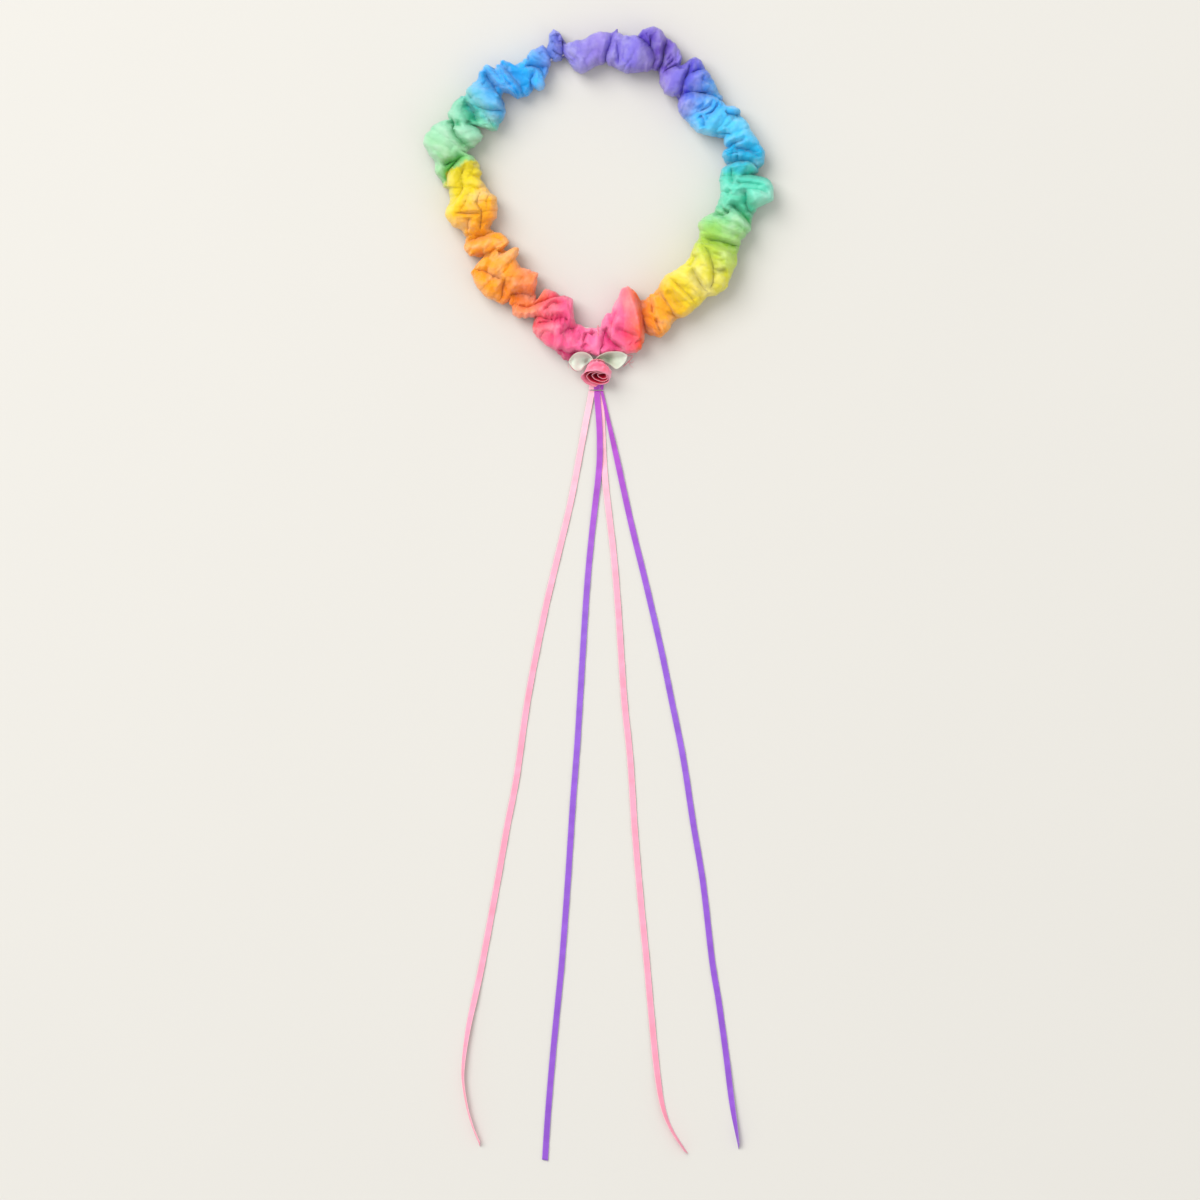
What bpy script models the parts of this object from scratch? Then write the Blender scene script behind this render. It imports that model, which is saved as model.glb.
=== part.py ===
"""Silk head garland: a dyed silk sleeve gathered on an elastic loop, with a ribbon rose, two ribbon
leaves and four satin streamers.  The garland lies flat on its underside, +Z up, and its streamers run
away from it towards -Y."""

import math

import bmesh
import bpy
import numpy as np
from mathutils import Matrix, Vector

MM = 0.001  # every table below is in millimetres, measured from the middle of the ring

# The middle of the ring, seen from the origin.  The origin is under the middle of the garland's box,
# and the rose reaches out below the ring, so the ring sits further up in Y.
RING_CENTRE = Vector((-0.588, 10.022, 0.0)) * MM

# Silk sleeve
SILK_WALL = 1.0       # gathered silk: several folded layers of thin cloth
SLEEVE_SIDES = 12     # points round the sleeve
SLEEVE_STEPS = 58     # sections along the sleeve
SLEEVE_START = -89.3  # degrees; the two ends meet at the bottom, under the rose
SLEEVE_END = 269.3
END_LIFT = 1.3        # the ends stand this far off the surface, on the closing stitch
END_RUN = 9.0         # degrees over which an end comes down to the surface
SECTION_DROP = 0.20   # share of the height that is pressed flat underneath

# Angle round the ring (degrees), inner radius, outer radius, height: puffs and drawn-in necks.
SLEEVE_RIBS = (
    (-90, 72.5, 84.5, 10), (-81, 66.0, 84.5, 14), (-72, 58.0, 87.0, 20), (-65, 62.0, 83.5, 15),
    (-57, 60.5, 83.5, 18), (-46, 60.0, 84.0, 20), (-34, 60.5, 86.5, 21), (-26, 59.0, 86.0, 20),
    (-18, 57.5, 84.5, 20), (-10, 62.5, 85.5, 17), (-3, 64.0, 92.5, 19), (3, 64.5, 92.5, 17),
    (9, 66.5, 89.0, 16), (14, 67.5, 91.0, 19), (22, 64.5, 89.0, 20), (30, 61.5, 87.0, 21),
    (38, 62.0, 82.0, 17), (46, 62.0, 84.5, 19), (53, 63.5, 87.5, 20), (60, 68.0, 85.5, 15),
    (68, 68.5, 90.0, 18), (76, 64.0, 88.0, 20), (88, 66.0, 84.5, 17), (97, 63.0, 81.0, 17),
    (103, 68.5, 81.0, 12), (110, 66.5, 82.0, 13), (118, 61.5, 80.5, 14), (133, 61.5, 88.0, 20),
    (142, 61.5, 86.5, 20), (150, 64.0, 88.0, 16), (160, 66.0, 95.0, 20), (167, 65.0, 94.5, 20),
    (173, 61.0, 87.0, 16), (180, 56.0, 80.5, 16), (188, 53.5, 81.5, 20), (203, 52.5, 76.5, 15),
    (219, 53.0, 80.5, 19), (234, 55.5, 77.0, 15), (241, 60.0, 79.5, 14), (248, 57.5, 83.0, 17),
    (255, 60.0, 85.5, 18), (262, 69.0, 84.5, 14), (270, 72.5, 84.5, 10),
)

# Elastic
ELASTIC_D = 2.4
ELASTIC_Z = 5.2
ELASTIC_LAP = 4.5        # degrees that each end runs past the other, below the rose
ELASTIC_LAP_OFFSET = 1.4  # the lapped ends lie side by side, this far from the middle line
ELASTIC_LAP_FADE = 10.0  # degrees over which a lapped end returns to the middle line
ELASTIC_FOLLOW = 0.6     # share of the sleeve's wander that the elastic follows
ELASTIC_MEAN_R = 73.5
ELASTIC_STEPS = 72

# Thread
THREAD_R = 0.3           # heavy thread, at the sleeve's closing stitch
FINE_THREAD_R = 0.225
LOOP_STEPS = 16          # points round a thread loop
LOOP_SQUARENESS = 4.8    # 2 makes a loop oval, larger makes it a rounded box
CLEARANCE = 0.3          # gap between pieces that touch
FRAY_STEPS = 14

# Ribbon
RIBBON_W = 3.2
RIBBON_T = 0.3
STREAMER_SPACING = 6.6   # distance between points along a streamer
CURVE_STEPS = 12         # steps between two points of a route when it is smoothed
HINGE_Y = -106.5         # where the streamers leave the garland
STUB_Y = -105.3          # where the fixed folds end, under the rim of the rose

# Rose: a ribbon rolled round itself, lying on its side with its mouth towards the streamers
ROSE_MOUTH = Vector((-0.4, -99.7, 10.9))
ROSE_LEAN = math.radians(28)  # the mouth looks this far up from level
ROSE_DEPTH = 9.0
ROSE_MOUTH_R = 8.0
ROSE_BASE_R = 3.1
ROSE_CORE_SHARE = 0.17   # radius of the innermost roll over the outer radius
ROSE_TURNS = 3.5
ROSE_STEPS = 60
ROSE_T = 0.3
ROSE_PROFILE = ((0.0, ROSE_MOUTH_R), (0.35, 0.93 * ROSE_MOUTH_R), (1.0, ROSE_BASE_R))  # depth share, radius
ROSE_TIE = 0.96          # depth share at which thread ties the base
ROSE_TIE_STEPS = 24

# Leaves: inner tip, outer tip, half width
LEAF_T = 0.4
LEAF_STEPS = 11
LEAF_TIP = 0.5           # half width at the tips
LEAF_SAG = Vector((0.0, -0.9, -0.9))  # how the middle of a leaf bows
LEAVES = {
    "leaf_left": ((-4.6, -88.6, 6.2), (-16.0, -91.0, 7.6), 4.6),
    "leaf_right": ((4.4, -88.4, 6.2), (15.6, -90.4, 7.6), 4.4),
}
LEAF_CUP = 1.2           # the edges stand this far above the midrib

# Streamers: x, y, height of the middle line, roll in degrees (0 is flat, 90 on edge)
STREAMERS = {
    "pink_streamer_left": (
        (-3.8, -107.0, 0.85, 0), (-6.4, -121.0, 0.8, 0), (-9.0, -136.2, 0.5, 0),
        (-14.5, -165.4, 0.4, 0), (-22.3, -198.2, 0.4, 0), (-28.6, -225.3, 0.4, 0),
        (-37.1, -269.2, 0.4, 0), (-43.2, -311.6, 0.4, 0), (-48.2, -337.6, 0.4, 0),
        (-53.5, -367.8, 0.4, 0), (-61.0, -408.1, 0.5, 0), (-64.7, -425.6, 0.9, 15),
        (-69.1, -446.3, 1.4, 40), (-71.6, -468.0, 1.8, 62), (-69.7, -483.9, 1.9, 70),
        (-66.4, -496.1, 1.9, 72), (-62.5, -505.6, 1.9, 72),
    ),
    "purple_streamer_left": (
        (0.0, -107.0, 0.85, 0), (0.8, -120.0, 0.95, 0), (1.1, -133.0, 1.0, 0),
        (0.4, -149.5, 0.95, 0), (-3.2, -181.8, 0.4, 0), (-6.1, -214.1, 0.4, 0),
        (-9.5, -269.2, 0.4, 0), (-11.1, -295.2, 0.4, 0), (-13.3, -324.4, 0.4, 0),
        (-16.1, -367.8, 0.4, 0), (-19.1, -408.1, 0.4, 0), (-21.2, -429.8, 0.4, 0),
        (-23.9, -457.9, 0.4, 0), (-26.5, -489.2, 0.4, 0), (-28.1, -514.1, 0.4, 0),
    ),
    "pink_streamer_right": (
        (1.3, -107.0, 0.25, 0), (2.1, -122.4, 0.25, 0), (3.7, -152.6, 0.3, 0),
        (8.2, -192.4, 0.4, 0), (10.9, -225.3, 0.4, 0), (13.8, -269.2, 0.4, 0),
        (17.0, -301.0, 0.4, 0), (19.6, -340.8, 0.4, 0), (22.8, -378.4, 0.4, 0),
        (25.7, -408.1, 0.4, 0), (27.6, -429.8, 0.4, 0), (30.7, -462.2, 0.7, -10),
        (33.9, -483.9, 1.4, -40), (38.5, -497.1, 1.8, -62), (46.6, -509.9, 1.9, -72),
    ),
    "purple_streamer_right": (
        (3.5, -107.0, 0.85, 0), (5.0, -114.0, 0.85, 0), (9.3, -138.3, 0.8, 0),
        (17.0, -174.4, 0.4, 0), (25.4, -208.8, 0.4, 0), (32.9, -241.2, 0.4, 0),
        (38.7, -269.2, 0.4, 0), (45.1, -301.0, 0.4, 0), (50.4, -335.5, 0.4, 0),
        (55.7, -367.8, 0.4, 0), (60.4, -408.1, 0.4, 0), (63.9, -429.8, 0.4, 0),
        (67.8, -457.9, 0.5, 0), (71.0, -483.9, 1.0, 25), (74.7, -506.7, 1.8, 75),
    ),
}

# The hidden middle of each ribbon, doubled back on itself under the rose: right-hand stub, up to the
# fold, and back over itself to the left-hand stub.
FOLDS = {
    "pink_fold": (
        (1.3, STUB_Y, 0.25), (0.8, -100.0, 0.6), (0.0, -95.0, 0.95), (-0.1, -93.8, 0.97),
        (-0.2, -93.4, 1.22), (-0.3, -93.8, 1.48), (-0.4, -95.0, 1.5), (-1.8, -99.0, 1.3),
        (-3.3, -103.0, 0.95), (-3.8, STUB_Y, 0.85),
    ),
    "purple_fold": (
        (3.5, STUB_Y, 0.85), (3.4, -103.2, 1.0), (2.6, -99.0, 1.7), (1.3, -95.0, 2.05),
        (1.2, -93.8, 2.07), (1.1, -93.4, 2.33), (1.0, -93.8, 2.58), (0.9, -95.0, 2.6),
        (0.6, -99.0, 2.3), (0.05, -103.2, 1.65), (0.0, STUB_Y, 0.85),
    ),
}
FOLD_STEPS = 30
TIE_Y = -95.0            # the thread tied round both folds
TIE_BOX = ((-2.8, 0.32), (3.6, 3.3))  # lowest and highest x and z of its middle line

# Ends of thread that stand out beside the leaves
FRAYS = {
    "thread_tail_left": ((-12.5, -89.5, 1.6), (-14.6, -92.0, 1.0), (-13.4, -94.8, 0.5), (-11.2, -96.0, 0.45)),
    "thread_tail_right": ((14.0, -88.5, 2.0), (17.6, -88.6, 1.6), (15.5, -91.2, 0.9), (13.4, -93.4, 0.45)),
}

# Colour, roughness and metallic value of each finish
FINISHES = {
    "dyed_silk": ((0.62, 0.38, 0.80), 0.45, 0.0),
    "elastic": ((0.85, 0.84, 0.80), 0.75, 0.0),
    "thread": ((0.86, 0.30, 0.45), 0.6, 0.0),
    "rose_satin": ((0.84, 0.22, 0.34), 0.35, 0.0),
    "leaf_satin": ((0.62, 0.70, 0.55), 0.4, 0.0),
    "pink_satin": ((0.98, 0.48, 0.60), 0.35, 0.0),
    "purple_satin": ((0.36, 0.10, 0.62), 0.35, 0.0),
}


def clear_scene():
    for old in list(bpy.data.objects):
        bpy.data.objects.remove(old, do_unlink=True)


def make_material(name):
    colour, roughness, metallic = FINISHES[name]
    material = bpy.data.materials.new(name)
    material.use_nodes = True
    shader = material.node_tree.nodes["Principled BSDF"]
    shader.inputs["Base Color"].default_value = (*colour, 1.0)
    shader.inputs["Roughness"].default_value = roughness
    shader.inputs["Metallic"].default_value = metallic
    return material


def smooth_line(points, count):
    """Count points, evenly spaced, on a smooth curve through the given points (any number of columns)."""
    route = np.array(points, dtype=float)
    padded = np.vstack([2 * route[0] - route[1], route, 2 * route[-1] - route[-2]])
    fine = []
    for a, b, c, d in zip(padded, padded[1:], padded[2:], padded[3:]):
        for t in np.linspace(0.0, 1.0, CURVE_STEPS, endpoint=False):
            fine.append(0.5 * (2 * b + (c - a) * t + (2 * a - 5 * b + 4 * c - d) * t**2
                               + (3 * b - a - 3 * c + d) * t**3))
    fine = np.array(fine + [route[-1]])
    columns = min(3, fine.shape[1])
    run = np.concatenate([[0.0], np.cumsum(np.linalg.norm(np.diff(fine[:, :columns], axis=0), axis=1))])
    stops = np.linspace(0.0, run[-1], count)
    return np.column_stack([np.interp(stops, run, fine[:, k]) for k in range(fine.shape[1])])


def line_length(points):
    route = np.array(points, dtype=float)[:, :3]
    return float(np.linalg.norm(np.diff(route, axis=0), axis=1).sum())


def place(name, data, material):
    """An object on the ring's middle, with its material, in the garland's collection."""
    obj = bpy.data.objects.new(name, data)
    obj.location = RING_CENTRE
    data.materials.append(materials[material])
    garland.objects.link(obj)
    return obj


def thicken(obj, thickness, offset):
    wall = obj.modifiers.new("thickness", "SOLIDIFY")
    wall.thickness = thickness * MM
    wall.offset = offset
    wall.use_even_offset = True


def skin(name, rows, material, round_sections=False):
    """A surface laid over rows of points, as a loft from each row to the next."""
    mesh = bpy.data.meshes.new(name)
    work = bmesh.new()
    grid = [[work.verts.new(Vector(p) * MM) for p in row] for row in rows]
    for near, far in zip(grid, grid[1:]):
        last = len(near) if round_sections else len(near) - 1
        for k in range(last):
            n = (k + 1) % len(near)
            work.faces.new((near[k], near[n], far[n], far[k]))
    bmesh.ops.recalc_face_normals(work, faces=work.faces)
    work.to_mesh(mesh)
    work.free()
    mesh.shade_smooth()
    mesh.set_sharp_from_angle(angle=math.radians(50))
    return place(name, mesh, material)


def cord(name, points, radius, material, closed=False):
    """A round thread or cord along straight steps between the points."""
    curve = bpy.data.curves.new(name, "CURVE")
    curve.dimensions = "3D"
    curve.bevel_depth = radius * MM
    curve.bevel_resolution = 2
    curve.use_fill_caps = not closed
    spline = curve.splines.new("POLY")
    spline.points.add(len(points) - 1)
    spline.use_cyclic_u = closed
    for knot, p in zip(spline.points, points):
        knot.co = (*(Vector(p[:3]) * MM), 1.0)
    return place(name, curve, material)


def ribbon(name, line, across):
    """A flat ribbon along a line, with the direction across it at each point."""
    rows = [[Vector(p[:3]) - side * RIBBON_W / 2, Vector(p[:3]) + side * RIBBON_W / 2]
            for p, side in zip(line, across)]
    satin = "pink_satin" if name.startswith("pink") else "purple_satin"
    thicken(skin(name, rows, satin), RIBBON_T, 0.0)


def rolled_across(line):
    """Directions across a ribbon that lies level, rolled about its own length by the fourth column."""
    across = []
    for k, roll in enumerate(line[:, 3]):
        along = Vector(line[min(k + 1, len(line) - 1), :3] - line[max(k - 1, 0), :3])
        level = Vector((-along.y, along.x, 0.0)).normalized()
        across.append(Matrix.Rotation(math.radians(roll), 3, along.normalized()) @ level)
    return across


def sleeve_size(angle):
    """Inner radius, outer radius, underside and top of the sleeve at an angle."""
    ribs = np.array(SLEEVE_RIBS, dtype=float)
    at = np.clip(np.searchsorted(ribs[:, 0], angle, side="right") - 1, 0, len(ribs) - 2)
    t = (angle - ribs[at, 0]) / (ribs[at + 1, 0] - ribs[at, 0])
    ease = t * t * (3 - 2 * t)
    inner, outer, height = ribs[at, 1:] * (1 - ease) + ribs[at + 1, 1:] * ease
    from_end = min(angle - SLEEVE_START, SLEEVE_END - angle)
    base = END_LIFT * max(0.0, 1 - max(0.0, from_end) / END_RUN)
    return inner, outer, base, height


def sleeve_section(angle, grow=0.0):
    """Points round the sleeve at an angle: an oval whose underside is pressed flat."""
    inner, outer, base, top = sleeve_size(angle)
    middle, half = (inner + outer) / 2, (outer - inner) / 2 + grow
    low, high = base - grow, top + grow
    turn = math.radians(angle)
    points = []
    for k in range(SLEEVE_SIDES):
        phi = math.tau * (k + 0.5) / SLEEVE_SIDES
        radius = middle + half * math.cos(phi)
        drop = SECTION_DROP * (high - low)
        rise = low - drop + (high - low + drop) * (1 + math.sin(phi)) / 2
        points.append((radius * math.cos(turn), radius * math.sin(turn), max(low, rise)))
    return points


def make_sleeve():
    angles = np.linspace(SLEEVE_START, SLEEVE_END, SLEEVE_STEPS)
    sections = [sleeve_section(a) for a in angles]
    thicken(skin("silk_sleeve", sections, "dyed_silk", round_sections=True), SILK_WALL, -1.0)
    loop = sleeve_section(-90, grow=CLEARANCE + THREAD_R)
    cord("sleeve_closing_stitch", loop, THREAD_R, "thread", closed=True)


def thread_loop(name, low, high, place_point):
    """A closed thread round a box, with its corners rounded off."""
    middle = [(a + b) / 2 for a, b in zip(low, high)]
    half = [(b - a) / 2 for a, b in zip(low, high)]
    points = []
    for k in range(LOOP_STEPS):
        c, s = math.cos(math.tau * k / LOOP_STEPS), math.sin(math.tau * k / LOOP_STEPS)
        reach = (abs(c) ** LOOP_SQUARENESS + abs(s) ** LOOP_SQUARENESS) ** (-1 / LOOP_SQUARENESS)
        points.append(place_point(middle[0] + half[0] * c * reach, middle[1] + half[1] * s * reach))
    cord(name, points, FINE_THREAD_R, "thread", closed=True)


def make_elastic():
    """The elastic follows the sleeve; its two ends lap side by side and are stitched together."""
    points = []
    for angle in np.linspace(-90 - ELASTIC_LAP, 270 + ELASTIC_LAP, ELASTIC_STEPS):
        inner, outer, _, _ = sleeve_size((angle + 90) % 360 - 90)
        radius = ELASTIC_FOLLOW * (inner + outer) / 2 + (1 - ELASTIC_FOLLOW) * ELASTIC_MEAN_R
        for edge, side in ((angle + 90 + ELASTIC_LAP, 1), (270 + ELASTIC_LAP - angle, -1)):
            fade = min(1.0, max(0.0, (edge - 2 * ELASTIC_LAP) / ELASTIC_LAP_FADE))
            radius += side * ELASTIC_LAP_OFFSET * (1 - fade)
        turn = math.radians(angle)
        points.append((radius * math.cos(turn), radius * math.sin(turn), ELASTIC_Z))
    cord("elastic_loop", points, ELASTIC_D / 2, "elastic")
    reach = ELASTIC_LAP_OFFSET + ELASTIC_D / 2 + 2 * CLEARANCE
    rise = ELASTIC_D / 2 + 2 * CLEARANCE
    middle = sum(sleeve_size(-90)[:2]) / 2 * ELASTIC_FOLLOW + (1 - ELASTIC_FOLLOW) * ELASTIC_MEAN_R
    thread_loop("elastic_stitch", (-middle - reach, ELASTIC_Z - rise), (-middle + reach, ELASTIC_Z + rise),
                lambda y, z: (0.0, y, z))


def make_rose():
    """A ribbon rolled into a spiral, wide at the mouth and gathered at the base."""
    out = Vector((0.0, -math.cos(ROSE_LEAN), math.sin(ROSE_LEAN)))
    up = Vector((0.0, math.sin(ROSE_LEAN), math.cos(ROSE_LEAN)))
    side = Vector((1.0, 0.0, 0.0))
    rows = []
    for k in range(ROSE_STEPS + 1):
        share = k / ROSE_STEPS
        turn = math.tau * ROSE_TURNS * share
        row = []
        for depth, radius in ROSE_PROFILE:
            r = radius * (ROSE_CORE_SHARE + (1 - ROSE_CORE_SHARE) * share)
            centre = ROSE_MOUTH - out * ROSE_DEPTH * depth
            row.append(centre + (side * math.cos(turn) + up * math.sin(turn)) * r)
        rows.append(row)
    thicken(skin("rose", rows, "rose_satin"), ROSE_T, 0.0)
    centre = ROSE_MOUTH - out * ROSE_DEPTH * ROSE_TIE
    ring_r = np.interp(ROSE_TIE, *zip(*ROSE_PROFILE)) + CLEARANCE + THREAD_R
    turns = np.linspace(0.0, math.tau, ROSE_TIE_STEPS, endpoint=False)
    ring = [centre + (side * math.cos(a) + up * math.sin(a)) * ring_r for a in turns]
    cord("rose_base_thread", ring, FINE_THREAD_R, "thread", closed=True)


def make_leaf(name):
    """A pointed leaf of folded ribbon, cupped along its midrib."""
    inner, outer, half_width = LEAVES[name]
    inner, outer = Vector(inner), Vector(outer)
    along = (outer - inner).normalized()
    across = Vector((-along.y, along.x, 0.0)).normalized()
    rows = []
    for t in np.linspace(0.0, 1.0, LEAF_STEPS):
        bow = math.sin(math.pi * t)
        half = LEAF_TIP + half_width * bow ** 0.8
        middle = inner.lerp(outer, t) + LEAF_SAG * bow
        rows.append([middle + across * half * s + Vector((0.0, 0.0, LEAF_CUP * s * s * half / half_width))
                     for s in (-1.0, -0.5, 0.0, 0.5, 1.0)])
    thicken(skin(name, rows, "leaf_satin"), LEAF_T, 0.0)


def make_streamers():
    for name, route in STREAMERS.items():
        line = smooth_line(route, round(line_length(route) / STREAMER_SPACING))
        ribbon(name, line, rolled_across(line))


def make_folds():
    for name, route in FOLDS.items():
        ribbon(name, smooth_line(route, FOLD_STEPS), [Vector((1.0, 0.0, 0.0))] * FOLD_STEPS)
    thread_loop("ribbon_tie", *TIE_BOX, lambda x, z: (x, TIE_Y, z))


def make_frays():
    for name, route in FRAYS.items():
        cord(name, smooth_line(route, FRAY_STEPS), FINE_THREAD_R, "thread")


clear_scene()
garland = bpy.data.collections.new("silk_head_garland")
bpy.context.scene.collection.children.link(garland)
materials = {name: make_material(name) for name in FINISHES}
make_sleeve()
make_elastic()
make_rose()
for leaf in LEAVES:
    make_leaf(leaf)
make_folds()
make_streamers()
make_frays()
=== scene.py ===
import math

import bmesh
import bpy
import numpy as np
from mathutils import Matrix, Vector


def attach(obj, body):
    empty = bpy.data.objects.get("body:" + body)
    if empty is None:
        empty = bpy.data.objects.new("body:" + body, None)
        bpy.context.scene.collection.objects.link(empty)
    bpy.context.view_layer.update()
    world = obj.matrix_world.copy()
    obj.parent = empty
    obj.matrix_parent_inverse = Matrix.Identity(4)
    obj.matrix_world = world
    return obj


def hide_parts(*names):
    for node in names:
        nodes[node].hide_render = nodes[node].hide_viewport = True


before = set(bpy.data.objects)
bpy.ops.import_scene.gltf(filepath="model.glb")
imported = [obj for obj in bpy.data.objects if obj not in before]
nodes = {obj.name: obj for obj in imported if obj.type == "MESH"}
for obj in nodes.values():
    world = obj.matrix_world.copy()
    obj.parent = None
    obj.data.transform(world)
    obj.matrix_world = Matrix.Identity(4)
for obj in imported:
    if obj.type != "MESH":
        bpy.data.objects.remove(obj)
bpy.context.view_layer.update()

mm = 0.001
scene = bpy.context.scene
# every route below is in millimetres from the middle of the ring, and this is where that middle lies
ringCentre = Vector((-0.588, 10.022, 0.0)) * mm

cameraSetup = {"across": 0.636, "aimX": 0.00047, "aimY": -0.2073, "height": 3.0, "sensor": 36.0}


def addCamera():
    data = bpy.data.cameras.new("topCamera")
    data.sensor_width = cameraSetup["sensor"]
    data.lens = cameraSetup["sensor"] * cameraSetup["height"] / cameraSetup["across"]
    camera = bpy.data.objects.new("topCamera", data)
    camera.location = (cameraSetup["aimX"], cameraSetup["aimY"], cameraSetup["height"])
    scene.collection.objects.link(camera)
    scene.camera = camera


addCamera()
print("camera ready")


def throughFour(a, b, c, d, t):
    # the smooth curve from b to c that its neighbours a and d shape
    return 0.5 * (2 * b + (c - a) * t + (2 * a - 5 * b + 4 * c - d) * t**2 + (3 * b - a - 3 * c + d) * t**3)


def smoothLine(points, spacing, steps=12):
    # evenly spaced points on a smooth curve through the given ones, any number of columns
    route = np.array(points, float)
    padded = np.vstack([2 * route[0] - route[1], route, 2 * route[-1] - route[-2]])
    fine = []
    for four in zip(padded, padded[1:], padded[2:], padded[3:]):
        for t in np.linspace(0, 1, steps, endpoint=False):
            fine.append(throughFour(*four, t))
    fine = np.array(fine + [route[-1]])
    deep = min(3, fine.shape[1])
    run = np.concatenate([[0], np.cumsum(np.linalg.norm(np.diff(fine[:, :deep], axis=0), axis=1))])
    stops = np.linspace(0, run[-1], max(2, round(run[-1] / spacing) + 1))
    return np.column_stack([np.interp(stops, run, fine[:, k]) for k in range(fine.shape[1])])


def unitAhead(line):
    # the direction along a line at each of its points
    ahead = np.gradient(line, axis=0)
    return ahead / np.linalg.norm(ahead, axis=1)[:, None]


def easedTable(table, at):
    # values of a table (place, value, value, ...) with an eased step from row to row
    rows = np.array(table, float)
    k = np.clip(np.searchsorted(rows[:, 0], at, side="right") - 1, 0, len(rows) - 2)
    t = np.clip((at - rows[k, 0]) / (rows[k + 1, 0] - rows[k, 0]), 0, 1)
    ease = (t * t * (3 - 2 * t))[:, None]
    return rows[k, 1:] * (1 - ease) + rows[k + 1, 1:] * ease


def gridMesh(name, points, closed=False, masks=None):
    # a mesh over a grid of points in millimetres, closed round its second direction if asked
    rows, columns = points.shape[:2]
    mesh = bpy.data.meshes.new(name)
    grid = np.arange(rows * columns).reshape(rows, columns)
    if closed:
        grid = np.column_stack([grid, grid[:, 0]])
    faces = np.stack([grid[:-1, :-1], grid[1:, :-1], grid[1:, 1:], grid[:-1, 1:]], -1).reshape(-1, 4)
    mesh.from_pydata((points.reshape(-1, 3) * mm).tolist(), [], faces.tolist())
    for key, values in (masks or {}).items():
        layer = mesh.attributes.new(key, "FLOAT", "POINT")
        layer.data.foreach_set("value", np.ascontiguousarray(values, np.float32).reshape(-1))
    mesh.shade_smooth()
    return addPiece(name, mesh)


def addPiece(name, data):
    piece = bpy.data.objects.new(name, data)
    piece.location = ringCentre
    scene.collection.objects.link(piece)
    return piece


def facesOut(piece, fillEnds=False):
    work = bmesh.new()
    work.from_mesh(piece.data)
    if fillEnds:
        bmesh.ops.holes_fill(work, edges=[e for e in work.edges if e.is_boundary], sides=0)
    bmesh.ops.recalc_face_normals(work, faces=work.faces)
    work.to_mesh(piece.data)
    work.free()
    piece.data.shade_smooth()


def addSolidify(piece, thickness, offset=0.0, even=True):
    wall = piece.modifiers.new("thickness", "SOLIDIFY")
    wall.thickness = thickness * mm
    wall.offset = offset
    wall.use_even_offset = even


def threadCurve(name, lines, radius):
    # one curve piece of several round strands
    curve = bpy.data.curves.new(name, "CURVE")
    curve.dimensions = "3D"
    curve.bevel_depth = radius * mm
    curve.bevel_resolution = 3
    curve.use_fill_caps = True
    for line in lines:
        spline = curve.splines.new("POLY")
        spline.points.add(len(line) - 1)
        for knot, p in zip(spline.points, line):
            knot.co = (*(Vector(p[:3]) * mm), 1.0)
    return addPiece(name, curve)


def finishPiece(piece, material, body):
    piece.data.materials.append(material)
    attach(piece, body)


def linear(colour):
    # an 8-bit screen colour as linear light
    shares = [c / 255 for c in colour]
    return tuple(s / 12.92 if s <= 0.04045 else ((s + 0.055) / 1.055) ** 2.4 for s in shares) + (1.0,)


white = (1.0, 1.0, 1.0, 1.0)


def newMaterial(name, settings):
    material = bpy.data.materials.new(name)
    material.use_nodes = True
    shader = material.node_tree.nodes["Principled BSDF"]
    for socket, value in settings.items():
        shader.inputs[socket].default_value = value
    return material, material.node_tree, shader


def addNode(tree, kind, values=None, **settings):
    # values go to the inputs, as plain values or as links from other nodes
    node = tree.nodes.new(kind)
    for key, value in settings.items():
        setattr(node, key, value)
    for key, value in (values or {}).items():
        if isinstance(value, bpy.types.NodeSocket):
            tree.links.new(value, node.inputs[key])
        else:
            node.inputs[key].default_value = value
    return node


def mixColour(tree, factor, a, b, blend="MIX"):
    values = {0: factor, 6: a, 7: b}
    return addNode(tree, "ShaderNodeMix", values, data_type="RGBA", blend_type=blend).outputs[2]


def mathNode(tree, operation, a, b=0.0, c=0.5, clamp=False):
    values = {0: a, 1: b, 2: c}
    return addNode(tree, "ShaderNodeMath", values, operation=operation, use_clamp=clamp).outputs[0]


def spread(tree, value, toMin, toMax, fromMin=0.0, fromMax=1.0):
    values = {"Value": value, "From Min": fromMin, "From Max": fromMax, "To Min": toMin, "To Max": toMax}
    return addNode(tree, "ShaderNodeMapRange", values).outputs[0]


def noise(tree, place, scale, detail, roughness=0.5, distortion=0.0):
    values = {"Vector": place, "Scale": scale, "Detail": detail, "Roughness": roughness,
              "Distortion": distortion}
    return addNode(tree, "ShaderNodeTexNoise", values).outputs["Fac"]


def colourRamp(tree, place, stops):
    ramp = addNode(tree, "ShaderNodeValToRGB", {0: place})
    elements = ramp.color_ramp.elements
    while len(elements) < len(stops):
        elements.new(0.5)
    for element, (at, colour) in zip(elements, stops):
        element.position = at
        element.color = linear(colour)
    return ramp.outputs[0]


def attribute(tree, name):
    return addNode(tree, "ShaderNodeAttribute", attribute_name=name).outputs["Fac"]


def objectPlace(tree):
    return tree.nodes.new("ShaderNodeTexCoord").outputs["Object"]


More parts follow.
